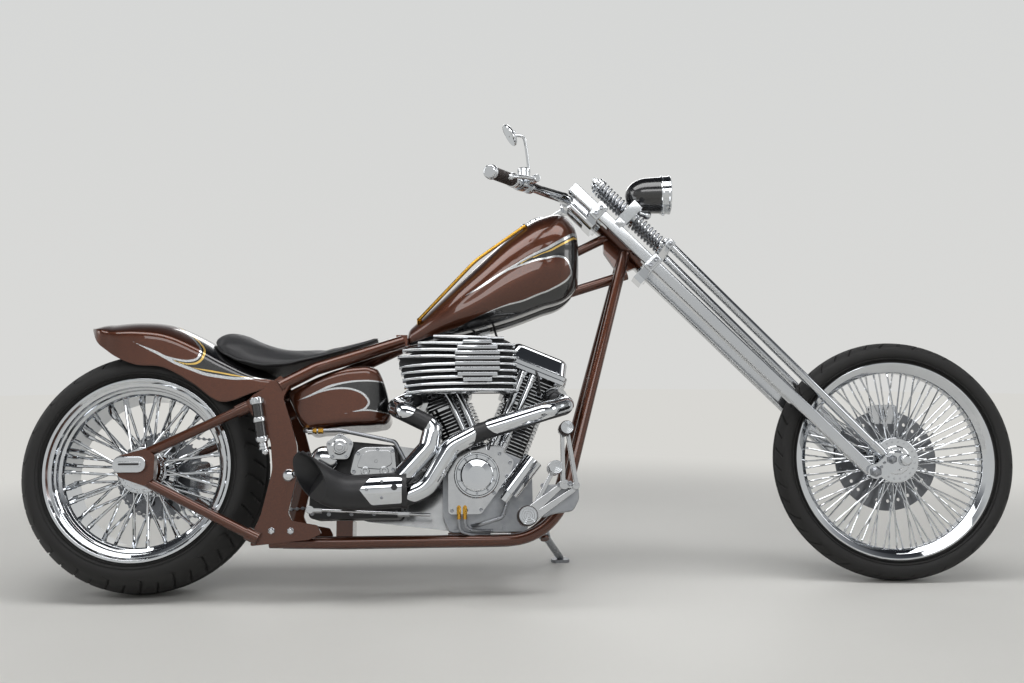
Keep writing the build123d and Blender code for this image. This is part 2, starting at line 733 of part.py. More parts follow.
def rear_caliper():
    """The rear caliper, which grips the sprocket's braking band between the two runs of the chain."""
    grip = caliper(REAR_AXLE, CHAIN_Y, 0.0, REAR_SPROCKET_R)
    y = STAY_Y - STAY_R
    arm = slab([(60.3, 306), (60.3, 344), (100, 352), (100, 298)], 5, y, y + 12)
    return grip + arm


# Fork


def fork_box(s_low, s_high, ahead_low, ahead_high, half_y):
    """A block square to the fork, between two heights along it and two distances ahead of it."""
    middle = on_fork((s_low + s_high) / 2, (ahead_low + ahead_high) / 2)
    plane = Plane(origin=middle, x_dir=AXIS_AHEAD, z_dir=AXIS_UP)
    return plane * Box(ahead_high - ahead_low, 2 * half_y, s_high - s_low)


def rigid_legs():
    """The two square rear legs that run from the upper tree to the rockers."""
    legs = []
    for side in (-1, 1):
        plane = Plane(origin=on_fork(LEG_LOW, 0, side * LEG_Y), x_dir=AXIS_AHEAD, z_dir=AXIS_UP)
        leg = extrude(plane * RectangleRounded(LEG_SIZE, LEG_SIZE, 5), amount=LEG_HIGH - LEG_LOW)
        foot = on_fork(LEG_LOW - 6, 4)
        eye = rod((foot.X, side * (LEG_Y - 17), foot.Z), (foot.X, side * (LEG_Y + 17), foot.Z), 19)
        legs.append(leg + eye)
    return legs


STUD = on_fork(-55, 60)
PIVOT = on_fork(LEG_LOW - 6, 4)


def spring_legs():
    """The two round front legs, with the cross head that joins their tops under the springs."""
    legs = []
    for side in (-1, 1):
        eye = rod((STUD.X, side * (LEG_Y - 12), STUD.Z), (STUD.X, side * (LEG_Y + 12), STUD.Z), 15)
        top = on_fork(SPRING_LEG_HIGH - 16, SPRING_LEG_OFFSET, side * LEG_Y)
        legs.append(rod((STUD.X, side * LEG_Y, STUD.Z), top, SPRING_LEG_R) + eye)
    head = fork_box(
        SPRING_LEG_HIGH - CROSS_HEIGHT, SPRING_LEG_HIGH,
        SPRING_LEG_OFFSET - 14, SPRING_LEG_OFFSET + 14, LEG_Y + 14
    )
    return fused([head, *legs])


def rockers():
    """The two leading links between the legs and the axle, with their pins."""
    links = []
    for side in (-1, 1):
        inner = LEG_Y + LEG_SIZE / 2 + RUNNING_GAP
        low, high = sorted((side * inner, side * (inner + ROCKER_THICKNESS)))
        pieces = []
        for point, radius in ((PIVOT, 20), (STUD, 18), (FRONT_AXLE, 20)):
            pieces.append(rod((point.X, low, point.Z), (point.X, high, point.Z), radius))
        web = slab(
            [(PIVOT.X, PIVOT.Z + 18), (STUD.X - 8, STUD.Z + 16), (FRONT_AXLE.X, FRONT_AXLE.Z + 17),
             (FRONT_AXLE.X, FRONT_AXLE.Z - 17), (PIVOT.X + 6, PIVOT.Z - 18)],
            0, low, high,
        )
        bore = rod(
            (FRONT_AXLE.X, low - 5, FRONT_AXLE.Z), (FRONT_AXLE.X, high + 5, FRONT_AXLE.Z), FRONT_AXLE_R + 0.1
        )
        links.append(fused([web, *pieces]) - bore)
    return links


def spring_mounts():
    """The perch between the upper and lower springs, with the rods, washers and top nuts."""
    perch = fork_box(PERCH_LOW, PERCH_HIGH, LEG_SIZE / 2 + 0.2, SPRING_OFFSET + 22, LEG_Y + LEG_SIZE / 2)
    rods = []
    for side in (-1, 1):
        y = side * SPRING_Y
        low = on_fork(SPRING_LEG_HIGH + 0.2, SPRING_OFFSET, y)
        high = on_fork(SPRING_TOP + 22, SPRING_OFFSET, y)
        rods.append(rod(low, high, 7))
        rods.append(rod(on_fork(SPRING_TOP, SPRING_OFFSET, y), on_fork(SPRING_TOP + 7, SPRING_OFFSET, y), 19))
    neck_room = rod(on_fork(PERCH_LOW - 20, 0), on_fork(PERCH_HIGH + 20, 0), HEAD_R + TURN_GAP)
    return fused([perch - neck_room, *rods])


def coil_spring(low, high, y):
    """One coil spring round its rod, wound as a true helix."""
    start, end = low + SPRING_WIRE_R + RUNNING_GAP, high - SPRING_WIRE_R - RUNNING_GAP
    pitch = (end - start) / SPRING_TURNS
    path = Edge.make_helix(pitch, end - start, SPRING_COIL_R)
    section = Plane(origin=path @ 0, z_dir=path % 0) * RegularPolygon(SPRING_WIRE_R, SPRING_WIRE_SIDES)
    coil = sweep(section, path=path, is_frenet=True)
    return Plane(origin=on_fork(start, SPRING_OFFSET, y), x_dir=AXIS_AHEAD, z_dir=AXIS_UP) * coil


def steering_stem():
    """The stem through the head tube."""
    return rod(on_fork(LOWER_TREE_S, 0), on_fork(UPPER_TREE_S + TREE_THICKNESS / 2 + 10, 0), STEM_R)


def lower_tree(legs):
    """The lower crown with the steering stem."""
    block = fork_box(
        LOWER_TREE_S - 15, LOWER_TREE_S + 15, -LEG_SIZE / 2 - 8, LEG_SIZE / 2 + 8, LEG_Y + LEG_SIZE / 2 + 8
    )
    tail = fork_box(LOWER_TREE_S - 15, LOWER_TREE_S + 15, -56, -LEG_SIZE / 2, 34)
    crown = fused([block, tail, steering_stem()])
    for leg in legs:
        crown = crown - leg
    return crown


def upper_tree(legs):
    """The upper crown with the handlebar risers."""
    low, high = UPPER_TREE_S - TREE_THICKNESS / 2, UPPER_TREE_S + TREE_THICKNESS / 2
    block = fork_box(low, high, -LEG_SIZE / 2 - 8, LEG_SIZE / 2 + 8, LEG_Y + LEG_SIZE / 2 + 8)
    shelf = fork_box(low, high, -BAR_BEHIND - RISER_BOSS_R, 0, BAR_CLAMP_Y)
    wings = fork_box(low, high, -BAR_BEHIND, 0, BAR_CLAMP_Y + RISER_BOSS_R)
    risers = []
    for side in (-1, 1):
        boss_low = on_fork(low, -BAR_BEHIND, side * BAR_CLAMP_Y)
        boss_high = on_fork(high, -BAR_BEHIND, side * BAR_CLAMP_Y)
        risers.append(rod(boss_low, boss_high, RISER_BOSS_R))
        foot = on_fork(high - 4, -BAR_BEHIND, side * BAR_CLAMP_Y)
        top = on_fork(BAR_S, -BAR_BEHIND, side * BAR_CLAMP_Y)
        risers.append(rod(foot, top, RISER_R))
        risers.append(rod((top.X, top.Y - 12, top.Z), (top.X, top.Y + 12, top.Z), BAR_R + BAR_CLAMP_WALL))
    crown = fused([block, shelf, wings, *risers])
    for leg in legs:
        crown = crown - leg
    return crown - steering_stem() - handlebar()


def bar_points():
    """The handlebar's centre line from the middle to the right end."""
    middle = on_fork(BAR_S, -BAR_BEHIND)
    x, y, z = GRIP_START
    way = Vector(x - middle.X, -(y - BAR_CLAMP_Y - 16), z - middle.Z).normalized()
    start = Vector(x, -y, z)
    return middle, Vector(middle.X, -BAR_CLAMP_Y - 16, middle.Z), start, start + way * GRIP_LENGTH


def handlebar():
    """The low bar, swept straight back on both sides."""
    middle, corner, _, end = bar_points()
    right = pipe([middle, corner, end], BAR_R, 40)
    return right + mirror(right, about=Plane.XZ)


def grips():
    """The rubber grips with their end caps."""
    _, _, start, end = bar_points()
    way = (end - start).normalized()
    sleeve = rod(start, end - way * 1, GRIP_R) - rod(start - way * 5, end, BAR_R)
    return both_sides(sleeve)


def bar_ends():
    """The bright domed ends of the bar and the collars at the grips' inner ends."""
    _, _, start, end = bar_points()
    way = (end - start).normalized()
    cap = rod(end, end + way * 12, GRIP_R + 1.5)
    cap = fillet(cap.edges().sort_by(Axis.Y)[0], 5)
    collar = rod(start - way * 12.3, start - way * 0.3, GRIP_R + 2) - rod(start - way * 20, start, BAR_R)
    return [*both_sides(cap), *both_sides(collar)]


def lever_set():
    """A lever with its clamp and fluid reservoir, ahead of the right grip."""
    _, corner, start, end = bar_points()
    way = (end - start).normalized()
    seat_point = start - way * 42
    clamp = rod(seat_point - way * 14, seat_point + way * 14, BAR_R + 8)
    cylinder = rod(seat_point + Vector(20, 12, 6), seat_point + Vector(46, -34, 4), 10)
    pot = rod(seat_point + Vector(10, 6, 8), seat_point + Vector(10, 6, 34), 16)
    tip = end + Vector(50, 18, -8)
    lever = pipe([seat_point + Vector(38, -22, 2), start + Vector(58, 0, -2), tip], 5.5, 40)
    bar_hole = rod(corner, end, BAR_R)
    return fused([clamp, cylinder, pot, lever]) - bar_hole


def mirror_head():
    """The round mirror on its bent stalk, on the right of the bar."""
    _, corner, start, end = bar_points()
    way = (end - start).normalized()
    foot = start - way * 92
    clamp = rod(foot - way * 9, foot + way * 9, BAR_R + 5) - rod(corner, end, BAR_R)
    bend, top = foot + Vector(-2, -6, 100), foot + Vector(-18, -16, 134)
    stalk = pipe([foot + Vector(0, 0, BAR_R + 3), bend, top, top + Vector(-24, -4, 2)], 4.0, [30, 10])
    facing = Vector(-0.86, -0.1, 0.5)
    head = rod(top + Vector(-24, -4, 2), top + Vector(-24, -4, 2) + facing.normalized() * 14, 32)
    return fused([clamp, stalk, head])


LAMP = (1348.0, 1133.0)  # X of the back of the shell, Z of the axis
LAMP_LENGTH = 134.0
LAMP_R = 55.0


def lamp_turned(edges):
    """A lamp piece spun about the lamp's level axis; the sketch has X along it and Y as the radius."""
    return Pos(LAMP[0], 0, LAMP[1]) * Rot(X=90) * revolve(make_face(edges), Axis.X)


def headlamp():
    """The bullet shaped shell of the headlamp with its rim."""
    edge = LAMP_LENGTH - 30
    shell = lamp_turned([
        ThreePointArc((0, 0), (30, LAMP_R * 0.72), (edge, LAMP_R)),
        Line((edge, LAMP_R), (LAMP_LENGTH - 14, LAMP_R)),
        Line((LAMP_LENGTH - 14, LAMP_R), (LAMP_LENGTH - 14, 0)),
        Line((LAMP_LENGTH - 14, 0), (0, 0)),
    ])
    return shell


def lamp_rim():
    """The bright rim of the headlamp."""
    a, b = LAMP_LENGTH - 13.8, LAMP_LENGTH
    return lamp_turned(
        Polyline((a, LAMP_R - 8), (a, LAMP_R + 3), (b, LAMP_R + 1), (b, LAMP_R - 6), close=True).edges()
    )


def lamp_lens():
    """The clear lens of the headlamp."""
    a, b = LAMP_LENGTH - 13.8, LAMP_LENGTH + 2
    edge_r, rise = LAMP_R - 8.2, 8.0
    bulge_r = (edge_r**2 + rise**2) / (2 * rise)
    half_r = edge_r / 2
    half_z = math.sqrt(bulge_r**2 - half_r**2)
    return lamp_turned([
        Line((a, 0), (a, LAMP_R - 8.2)),
        Line((a, LAMP_R - 8.2), (LAMP_LENGTH - 6, LAMP_R - 8.2)),
        ThreePointArc((LAMP_LENGTH - 6, LAMP_R - 8.2), (b - bulge_r + half_z, half_r), (b, 0)),
        Line((b, 0), (a, 0)),
    ])


def lamp_bracket():
    """The stem and ball that carry the headlamp on the spring perch."""
    foot = on_fork((PERCH_LOW + PERCH_HIGH) / 2, SPRING_OFFSET + 22.2)
    ball = Vector(LAMP[0] + 64, 0, LAMP[1] - LAMP_R - 5)
    return rod(foot, ball, 9) + Pos(*ball) * Sphere(13)


# Controls, stand and the small pieces
PEG_INNER_Y = 214.0


def foot_controls(rail):
    """The right foot peg with its forged arm and the pedal above it, on a bracket from the rail."""
    plate = slab(
        [(1022, 222), (1058, 267), (1156, 266), (1156, 228), (1137, 194), (1088, 192), (1050, 176)],
        [8, 10, 5, 8, 12, 12, 10], -236, -222,
    )
    stem = rod((1119, -108, 209), (1119, -224, 228), 12) - rail
    stem = stem.solids().sort_by(Axis.Y)[0]
    arm = slab(
        [(1004, 204), (1098, 272), (1150, 268), (1130, 244), (1040, 166)], [8, 10, 6, 12, 12], -262, -236
    )
    arm = arm - slab([(1040, 208), (1094, 250), (1116, 250), (1056, 198)], 4, -268, -244)
    peg = rod((1016, -PEG_INNER_Y, 184), (1016, -304, 184), 23)
    pedal = slab(
        [(1104, 252), (1148, 252), (1134, 392), (1128, 408), (1106, 408), (1100, 392)], 6, -278, -262
    )
    pedal = pedal - slab([(1113, 276), (1139, 276), (1124, 374), (1111, 374)], 5, -290, -250)
    knob = rod((1117, -262, 402), (1117, -320, 402), 16)
    stalk = slab([(1074, 258), (1098, 258), (1102, 306), (1078, 306)], 6, -256, -236)
    cap = rod((1089, -236, 305), (1089, -296, 305), 17)
    return fused([plate, stem, arm, peg, pedal, knob, stalk, cap])


STAND_PIVOT = Vector(1100, 160, 146)
STAND_FOLDED = Vector(-220, 4, -26)  # the way the leg points when it is folded
STAND_FOOT = (1166.0, 340.0)  # X and Y of the foot, which reaches the floor
STAND_R = 11.0
STAND_PIN_R = 8.0
STAND_LUG_R = 14.0


def stand_foot(floor):
    """The middle of the foot's sole on the floor plane."""
    x, y = STAND_FOOT
    normal, origin = floor.z_dir, floor.origin
    z = origin.Z - (normal.X * (x - origin.X) + normal.Y * (y - origin.Y)) / normal.Z
    return Vector(x, y, z)


def stand_axis(floor):
    """The hinge axis, about which a positive turn folds the stand up and back."""
    return (stand_foot(floor) - STAND_PIVOT).cross(STAND_FOLDED).normalized()


def side_stand(floor):
    """The leg of the side stand, with its foot flat on the floor."""
    foot, axis = stand_foot(floor), stand_axis(floor)
    ankle = foot + floor.z_dir * 12
    way = (ankle - STAND_PIVOT).normalized()
    eye = Plane(origin=STAND_PIVOT, z_dir=axis)
    leg = rod(STAND_PIVOT + way * (STAND_LUG_R + 1), ankle, STAND_R)
    sole = Plane(origin=foot, x_dir=(1, 0, 0), z_dir=floor.z_dir)
    pad = extrude(sole * RectangleRounded(56, 40, 16), amount=9)
    hub = extrude(eye * Circle(17), amount=9, both=True)
    pin = extrude(eye * Circle(STAND_PIN_R + RUNNING_GAP), amount=30, both=True)
    below = extrude(sole * Rectangle(300, 300), amount=-60)
    return fused([leg, pad, hub]) - pin - below


def stand_bracket(floor):
    """The pin of the side stand with its nut, held out from the left rail."""
    axis = stand_axis(floor)
    pin = rod(STAND_PIVOT - axis * 17, STAND_PIVOT + axis * 26, STAND_PIN_R)
    nut = rod(STAND_PIVOT - axis * 17, STAND_PIVOT - axis * 9.5, 13)
    lug = rod(STAND_PIVOT + axis * 9.5, STAND_PIVOT + axis * 28, STAND_LUG_R)
    arm = rod(STAND_PIVOT + axis * 22, (1092, 112, 176), 7)
    return fused([pin, nut, lug, arm])


def reservoir():
    """The black cylinder with bright bands that stands on the right upright."""
    y = -PLATE_Y - PLATE_THICKNESS - 17
    top, foot = Vector(315, y, 495), Vector(333, y, 392)
    way = (foot - top).normalized()
    body = rod(top, foot, 14)
    bands = [rod(top + way * a, top + way * b, 15.5) for a, b in ((-6, 8), (46, 56), (98, 106))]
    nut = bar(foot, foot + way * 20, 9, 6)
    stub = rod((331, y, 444), (331, -PLATE_Y - PLATE_THICKNESS - 0.1, 444), 8)
    return fused([body, *bands, nut, stub])


OIL_LINES = [
    [
        (437, -96, 434), (437, -129, 420), (529, -131, 422), (676, -131, 390), (708, -131, 330),
        (812, -80, 300)
    ],
    [(978, -150, 236), (960, -150, 186), (901, -140, 168), (880, -84, 166)],
]


def oil_lines():
    """The two lines that run to the crankcase, from the oil tank and from the filter."""
    return [pipe(OIL_LINES[0], 5.5, [8, 14, 16, 16]), pipe(OIL_LINES[1], 5.5, [16, 14])]


def motor_mount():
    """The bracket between the rocker boxes and the backbone."""
    x = CRANK[0]
    outline = [
        (x - 72, 636), (x, 676), (x + 72, 636), (x + 72, 656), (x + 14, 702), (x + 14, 748), (x - 14, 748),
        (x - 14, 702), (x - 72, 656),
    ]
    return slab(outline, 4, -9, 9)


def collector_shield():
    """The bright pointed shield over the place where the two pipes meet."""
    shell = pipe(MUFFLER, MUFFLER_R + 3, 110) - pipe(MUFFLER, MUFFLER_R + 0.3, 110)
    outline = slab(
        [(592, 256), (622, 292), (699, 286), (699, 222), (622, 218)], [3, 12, 4, 4, 12], -260, -200
    )
    return (shell & outline).solids().sort_by(Axis.Y)[0]


def rear_axle():
    """The rear axle with its spacers and the oval covers at its ends."""
    hub_side, sprocket_side = REAR_FLANGE_Y + 8.3, CHAIN_Y + 7.3
    plate_in, plate_out = STAY_Y - STAY_R, STAY_Y + STAY_R + 2.3
    z = REAR_AXLE.Z
    axle = rod((0, -plate_out, z), (0, plate_out, z), REAR_AXLE_R)
    spacers = rod((0, -plate_in, z), (0, -hub_side, z), 20) + rod((0, sprocket_side, z), (0, plate_in, z), 17)
    covers = []
    for side in (-1, 1):
        plane = Plane(origin=(0, side * plate_out, z + 6), x_dir=(side, 0, 0), z_dir=(0, side, 0))
        cover = extrude(plane * RectangleRounded(82, 42, 20), amount=13)
        covers.append(fillet(cover.edges().sort_by(Axis.Y)[-1 if side > 0 else 0], 5))
    return fused([axle, spacers, *covers])


def front_axle():
    """The front axle with its spacers and domed nuts."""
    x, z = FRONT_AXLE.X, FRONT_AXLE.Z
    rocker_in = LEG_Y + LEG_SIZE / 2 + RUNNING_GAP
    rocker_out = rocker_in + ROCKER_THICKNESS
    bracket_in = FRONT_DISC_Y + DISC_THICKNESS / 2 + BRAKE_GAP
    pieces = [rod((x, -rocker_out, z), (x, rocker_out, z), FRONT_AXLE_R)]
    hub_end = FRONT_FLANGE_Y + 8.3
    pieces.append(rod((x, -rocker_in, z), (x, -hub_end, z), 14))
    pieces.append(rod((x, hub_end, z), (x, bracket_in - 0.2, z), 14))
    pieces.append(rod((x, bracket_in + 14.2, z), (x, rocker_in, z), 14))
    for side in (-1, 1):
        nut = rod((x, side * rocker_out, z), (x, side * (rocker_out + 16), z), 16)
        pieces.append(fillet(nut.edges().sort_by(Axis.Y)[-1 if side > 0 else 0], 7))
    return fused(pieces)


# How the drawn pieces are placed: steering turned, machine leaned, both wheels on the floor
AXIS_FRAME = Plane(origin=AXIS_BASE, x_dir=AXIS_AHEAD, z_dir=AXIS_UP).location
STEERED = AXIS_FRAME * Rot(Z=-STEER_RIGHT) * AXIS_FRAME.inverse()


def floor_touch(wheel_tyre):
    """The height of a tyre's lowest point once the machine leans."""
    return (Rot(X=-LEAN) * wheel_tyre).bounding_box().min.Z


REAR_TYRE = tyre(REAR_AXLE, REAR_TYRE_R, REAR_SEAT_R, REAR_TYRE_WIDTH, REAR_RIM_WIDTH, REAR_FLANGE_TOP)
FRONT_TYRE = tyre(FRONT_AXLE, FRONT_TYRE_R, FRONT_SEAT_R, FRONT_TYRE_WIDTH, FRONT_RIM_WIDTH, FRONT_FLANGE_TOP)
REAR_LOW = floor_touch(REAR_TYRE)
FRONT_LOW = floor_touch(STEERED * FRONT_TYRE)
PITCH = math.degrees(math.atan2(FRONT_LOW - REAR_LOW, WHEELBASE))
STANDING = Rot(Y=PITCH) * Rot(X=-LEAN)
FLOOR_Z = (STANDING * REAR_TYRE).bounding_box().min.Z
FLOOR = Plane(STANDING.inverse() * Location((0, 0, FLOOR_Z)))


def main_frame():
    """The frame's pieces by node name, with the pieces that are bolted straight to it."""
    spine = backbone()
    plate = side_plate()
    tube = seat_tube(SEAT_TUBE_R) - plate - spine
    rail = lower_rail() - spine - plate
    bracket = stand_bracket(FLOOR)
    left_rail = mirror(rail, about=Plane.XZ)
    ties = [tie - rail - left_rail for tie in rail_ties()]
    cradle = [*both_sides(tube), rail, left_rail + bracket, *ties]
    stay = stays() - plate
    shell = rear_fender()
    tank = fuel_tank() - spine
    cushion = seat()
    for side_tube in both_sides(seat_tube(SEAT_TUBE_R + SEAT_GAP)):
        cushion = cushion - side_tube
    return {
        "backbone": [spine],
        "cradle": cradle,
        "side_plates": both_sides(plate),
        "rear_stays": both_sides(stay),
        "rear_axle": [rear_axle()],
        "rear_fender": [shell],
        "fuel_tank": [tank],
        "seat": [cushion],
        "oil_tank": [oil_tank()],
        "sight_tube": [sight_tube() - tank],
    }


def power_unit():
    """The engine, gearbox and exhaust pieces by node name."""
    front_pipe = header_pipe(FRONT_PIPE, [36, 40, 120, 60, 70])
    rear_pipe = header_pipe(REAR_PIPE, [36, 30, 24, 30])
    silencer = muffler()
    case = crankcase()
    cover = gearcase_cover()
    cylinders = [engine_cylinder(side * CYLINDER_ANGLE) for side in (1, -1)]
    boxes = [rocker_box(side * CYLINDER_ANGLE) for side in (1, -1)]
    cleaner, body = air_cleaner()
    for piece in [*cylinders, *boxes]:
        body = body - piece
    rods = []
    for one in pushrod_tubes():
        one = one - case - cover
        for box in boxes:
            one = one - box
        rods.append(one.solids().sort_by(SortBy.VOLUME)[-1])
    mount = motor_mount() - backbone()
    for box in boxes:
        mount = mount - box
    supply, drain = oil_lines()
    gearbox = transmission()
    can = oil_filter()
    return {
        "crankcase": [case],
        "cylinder_front": [cylinders[0] - front_pipe],
        "cylinder_rear": [cylinders[1] - rear_pipe],
        "rocker_boxes": boxes,
        "pushrod_tubes": rods,
        "gearcase_cover": [cover],
        "air_cleaner": [cleaner],
        "carburettor": [body],
        "exhaust_pipes": [front_pipe - muffler_core(), rear_pipe - muffler_core()],
        "muffler": [silencer],
        "collector_shield": [collector_shield()],
        "transmission": [gearbox],
        "primary_cover": [primary_cover() - gearbox - case],
        "oil_filter": [can],
        "oil_lines": [supply - oil_tank() - case, drain - case - can],
        "motor_mount": [mount],
        "reservoir": [reservoir()],
        "foot_controls": both_sides(foot_controls(lower_rail())),
        "drive_chain": [drive_chain(), drive_sprocket()],
        "rear_caliper": [rear_caliper()],
    }


def fork_pieces():
    """The steered pieces by node name."""
    legs = rigid_legs()
    springs = []
    for side in (-1, 1):
        springs.append(coil_spring(SPRING_LEG_HIGH, PERCH_LOW, side * SPRING_Y))
        springs.append(coil_spring(PERCH_HIGH, SPRING_TOP, side * SPRING_Y))
    bars = handlebar()
    shell = headlamp()
    perch = spring_mounts()
    return {
        "fork_trees": [lower_tree(legs), upper_tree(legs)],
        "fork_legs": legs,
        "spring_legs": [spring_legs()],
        "rockers": rockers(),
        "spring_perch": [perch],
        "fork_springs": springs,
        "front_axle": [front_axle()],
        "handlebar": [bars, *bar_ends()],
        "grips": grips(),
        "hand_controls": both_sides(lever_set()),
        "mirror": [mirror_head()],
        "headlamp": [shell, lamp_rim(), lamp_bracket() - shell - perch],
        "headlamp_lens": [lamp_lens()],
        "front_caliper": [front_caliper()],
    }


def wheel_pieces():
    """The turning pieces of each wheel by node name, the rear ones first."""
    back_rim, front_rim_piece = rear_rim(), front_rim()
    back_spokes = spoked_hub(
        REAR_AXLE, REAR_HUB_R, REAR_FLANGE_R, REAR_FLANGE_Y, REAR_AXLE_R + RUNNING_GAP, back_rim, REAR_WELL_R,
        REAR_SPOKES, REAR_SPOKE_R, 14, 50,
    )
    front_spokes = spoked_hub(
        FRONT_AXLE, FRONT_HUB_R, FRONT_FLANGE_R, FRONT_FLANGE_Y, FRONT_AXLE_R + RUNNING_GAP, front_rim_piece,
        FRONT_WELL_R, FRONT_SPOKES, FRONT_SPOKE_R, 12, 6,
    )
    rear_nodes = {
        "rear_tyre": [REAR_TYRE],
        "rear_rim": [back_rim],
        "rear_spokes": [back_spokes],
        "rear_sprocket": [rear_sprocket()],
    }
    front_nodes = {
        "front_tyre": [FRONT_TYRE],
        "front_rim": [front_rim_piece],
        "front_spokes": [front_spokes],
        "front_disc": [front_disc()],
    }
    return rear_nodes, front_nodes


FIXED = {**main_frame(), **power_unit()}
STEERING = fork_pieces()
REAR_WHEEL, FRONT_WHEEL = wheel_pieces()

NODES = {}
for name, pieces in {**FIXED, **REAR_WHEEL}.items():
    NODES[name] = STANDING * group(pieces)
for name, pieces in {**STEERING, **FRONT_WHEEL}.items():
    NODES[name] = STANDING * STEERED * group(pieces)
NODES["side_stand"] = STANDING * side_stand(FLOOR)

BOXES = [node.bounding_box() for node in NODES.values()]
TO_ORIGIN = Pos(
    -(min(box.min.X for box in BOXES) + max(box.max.X for box in BOXES)) / 2,
    -(min(box.min.Y for box in BOXES) + max(box.max.Y for box in BOXES)) / 2,
    -min(box.min.Z for box in BOXES),
)

if __name__ == "__main__":
    os.makedirs("parts", exist_ok=True)
    for name, node in NODES.items():
        export_step(TO_ORIGIN * node, f"parts/{name}.step")
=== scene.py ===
"""The looks of a long custom motorcycle with a leading link fork, laid out as a Blender add-on.

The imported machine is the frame. Its sound shapes keep their nodes and get their finishes here, and
the pieces that need more form are modelled in millimetres on the upright machine: X forward, Y to
the rider's left, Z up, with the rear wheel on the floor at X = 0. UPRIGHT and STEERED set them in place.
"""
import json
import math
from collections import namedtuple

import bmesh
import bpy
import numpy as np
from bpy.props import FloatProperty, FloatVectorProperty, IntProperty, PointerProperty, StringProperty
from bpy.types import Operator, Panel, PropertyGroup
from mathutils import Matrix, Quaternion, Vector
from mathutils.kdtree import KDTree


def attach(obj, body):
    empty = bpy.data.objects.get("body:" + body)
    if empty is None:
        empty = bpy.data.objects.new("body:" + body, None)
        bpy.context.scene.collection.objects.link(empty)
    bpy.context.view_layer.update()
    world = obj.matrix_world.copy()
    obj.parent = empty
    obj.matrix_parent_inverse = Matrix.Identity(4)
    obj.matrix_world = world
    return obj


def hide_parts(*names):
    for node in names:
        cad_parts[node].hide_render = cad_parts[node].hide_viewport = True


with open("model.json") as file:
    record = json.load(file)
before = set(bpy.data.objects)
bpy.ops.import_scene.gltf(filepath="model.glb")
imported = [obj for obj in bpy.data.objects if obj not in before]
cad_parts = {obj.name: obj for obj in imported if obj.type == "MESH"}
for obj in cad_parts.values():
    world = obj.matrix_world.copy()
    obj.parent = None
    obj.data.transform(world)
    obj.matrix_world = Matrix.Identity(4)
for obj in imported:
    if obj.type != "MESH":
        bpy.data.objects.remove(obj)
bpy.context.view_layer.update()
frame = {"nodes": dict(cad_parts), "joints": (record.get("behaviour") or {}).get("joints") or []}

bl_info = {
    "name": "Long Custom Motorcycle",
    "version": (1, 0, 0),
    "blender": (4, 5, 0),
    "location": "3D View > Sidebar > Motorcycle",
    "description": "Finishes and fine forms of a parked custom motorcycle",
    "category": "Object",
}

# Driving sizes of the upright machine, in millimetres and degrees
MM = 0.001
RAKE = math.radians(44.5)
REAR_HUB = Vector((0, 0, 325.0))
FRONT_HUB = Vector((2093.0, 0, 338.7))
LEFT = Vector((0, 1, 0))
FORWARD = Vector((1, 0, 0))
UP = Vector((0, 0, 1))
STEM = Vector((-math.sin(RAKE), 0, math.cos(RAKE)))
AHEAD = Vector((math.cos(RAKE), 0, math.sin(RAKE)))
AXLE_OFFSET = 84.0
STEM_FOOT = FRONT_HUB - FORWARD * (AXLE_OFFSET / math.cos(RAKE))


def machine_place(left, stem, hub, hub_on_machine):
    """Where the upright machine's millimetres go, from its wheel axle, its steering axis and a hub."""
    left, stem = Vector(left).normalized(), Vector(stem).normalized()
    ahead = left.cross(stem).normalized()
    forward = ahead * math.cos(RAKE) - stem * math.sin(RAKE)
    up = ahead * math.sin(RAKE) + stem * math.cos(RAKE)
    turn = Matrix((forward, left, up)).transposed().to_4x4()
    return Matrix.Translation(Vector(hub)) @ turn @ Matrix.Scale(MM, 4) @ Matrix.Translation(-hub_on_machine)


JOINTS = {joint["name"]: joint for joint in frame["joints"]}
REAR_SPIN, FRONT_SPIN, STEERING = (
    JOINTS[name] for name in ("rear_wheel_spin", "front_wheel_spin", "steering")
)
UPRIGHT = machine_place(REAR_SPIN["axis"], STEERING["axis"], REAR_SPIN["pos_m"], REAR_HUB)
STEERED = machine_place(FRONT_SPIN["axis"], STEERING["axis"], FRONT_SPIN["pos_m"], FRONT_HUB)
PLACES = {
    "main_frame": UPRIGHT, "rear_wheel": UPRIGHT, "side_stand_leg": UPRIGHT,
    "fork": STEERED, "front_wheel": STEERED,
}


def on_fork(s, ahead, y=0.0):
    """A point s up the steering axis, ahead of it, and y to the left."""
    return STEM_FOOT + STEM * s + AHEAD * ahead + LEFT * y


def on_circle(centre, radius, angle, y=0.0):
    """A point on a circle in side view, at an angle in radians from straight ahead, y off its centre."""
    return centre + Vector((radius * math.cos(angle), y, radius * math.sin(angle)))


def around(centre, radius, count, start=0.0, y=0.0):
    """Points evenly round such a circle, from a start in degrees."""
    return [on_circle(centre, radius, math.radians(start + 360 * k / count), y) for k in range(count)]


# Sizes and colours that a user would change


class PaintSettings(PropertyGroup):
    """Paint colours and the size of the flakes."""

    brown: StringProperty(
        name="Brown", description="Metallic brown paint, as an sRGB hex value", default="592C15"
    )
    brown_dark: StringProperty(
        name="Brown flake", description="Darker flakes in the brown paint", default="1F0F08"
    )
    black: StringProperty(name="Black", description="Gloss black paint", default="070708")
    silver: StringProperty(
        name="Silver stripe", description="Silver leaf of the pinstripes", default="C9CBCC"
    )
    gold: StringProperty(
        name="Gold stripe", description="Pale gold of the second pinstripe", default="D9B45C"
    )
    flake: FloatProperty(name="Flake size", description="Size of the metallic flakes as drawn, in metres",
                         default=0.0011, min=0.0002, max=0.01, subtype="DISTANCE", unit="LENGTH")


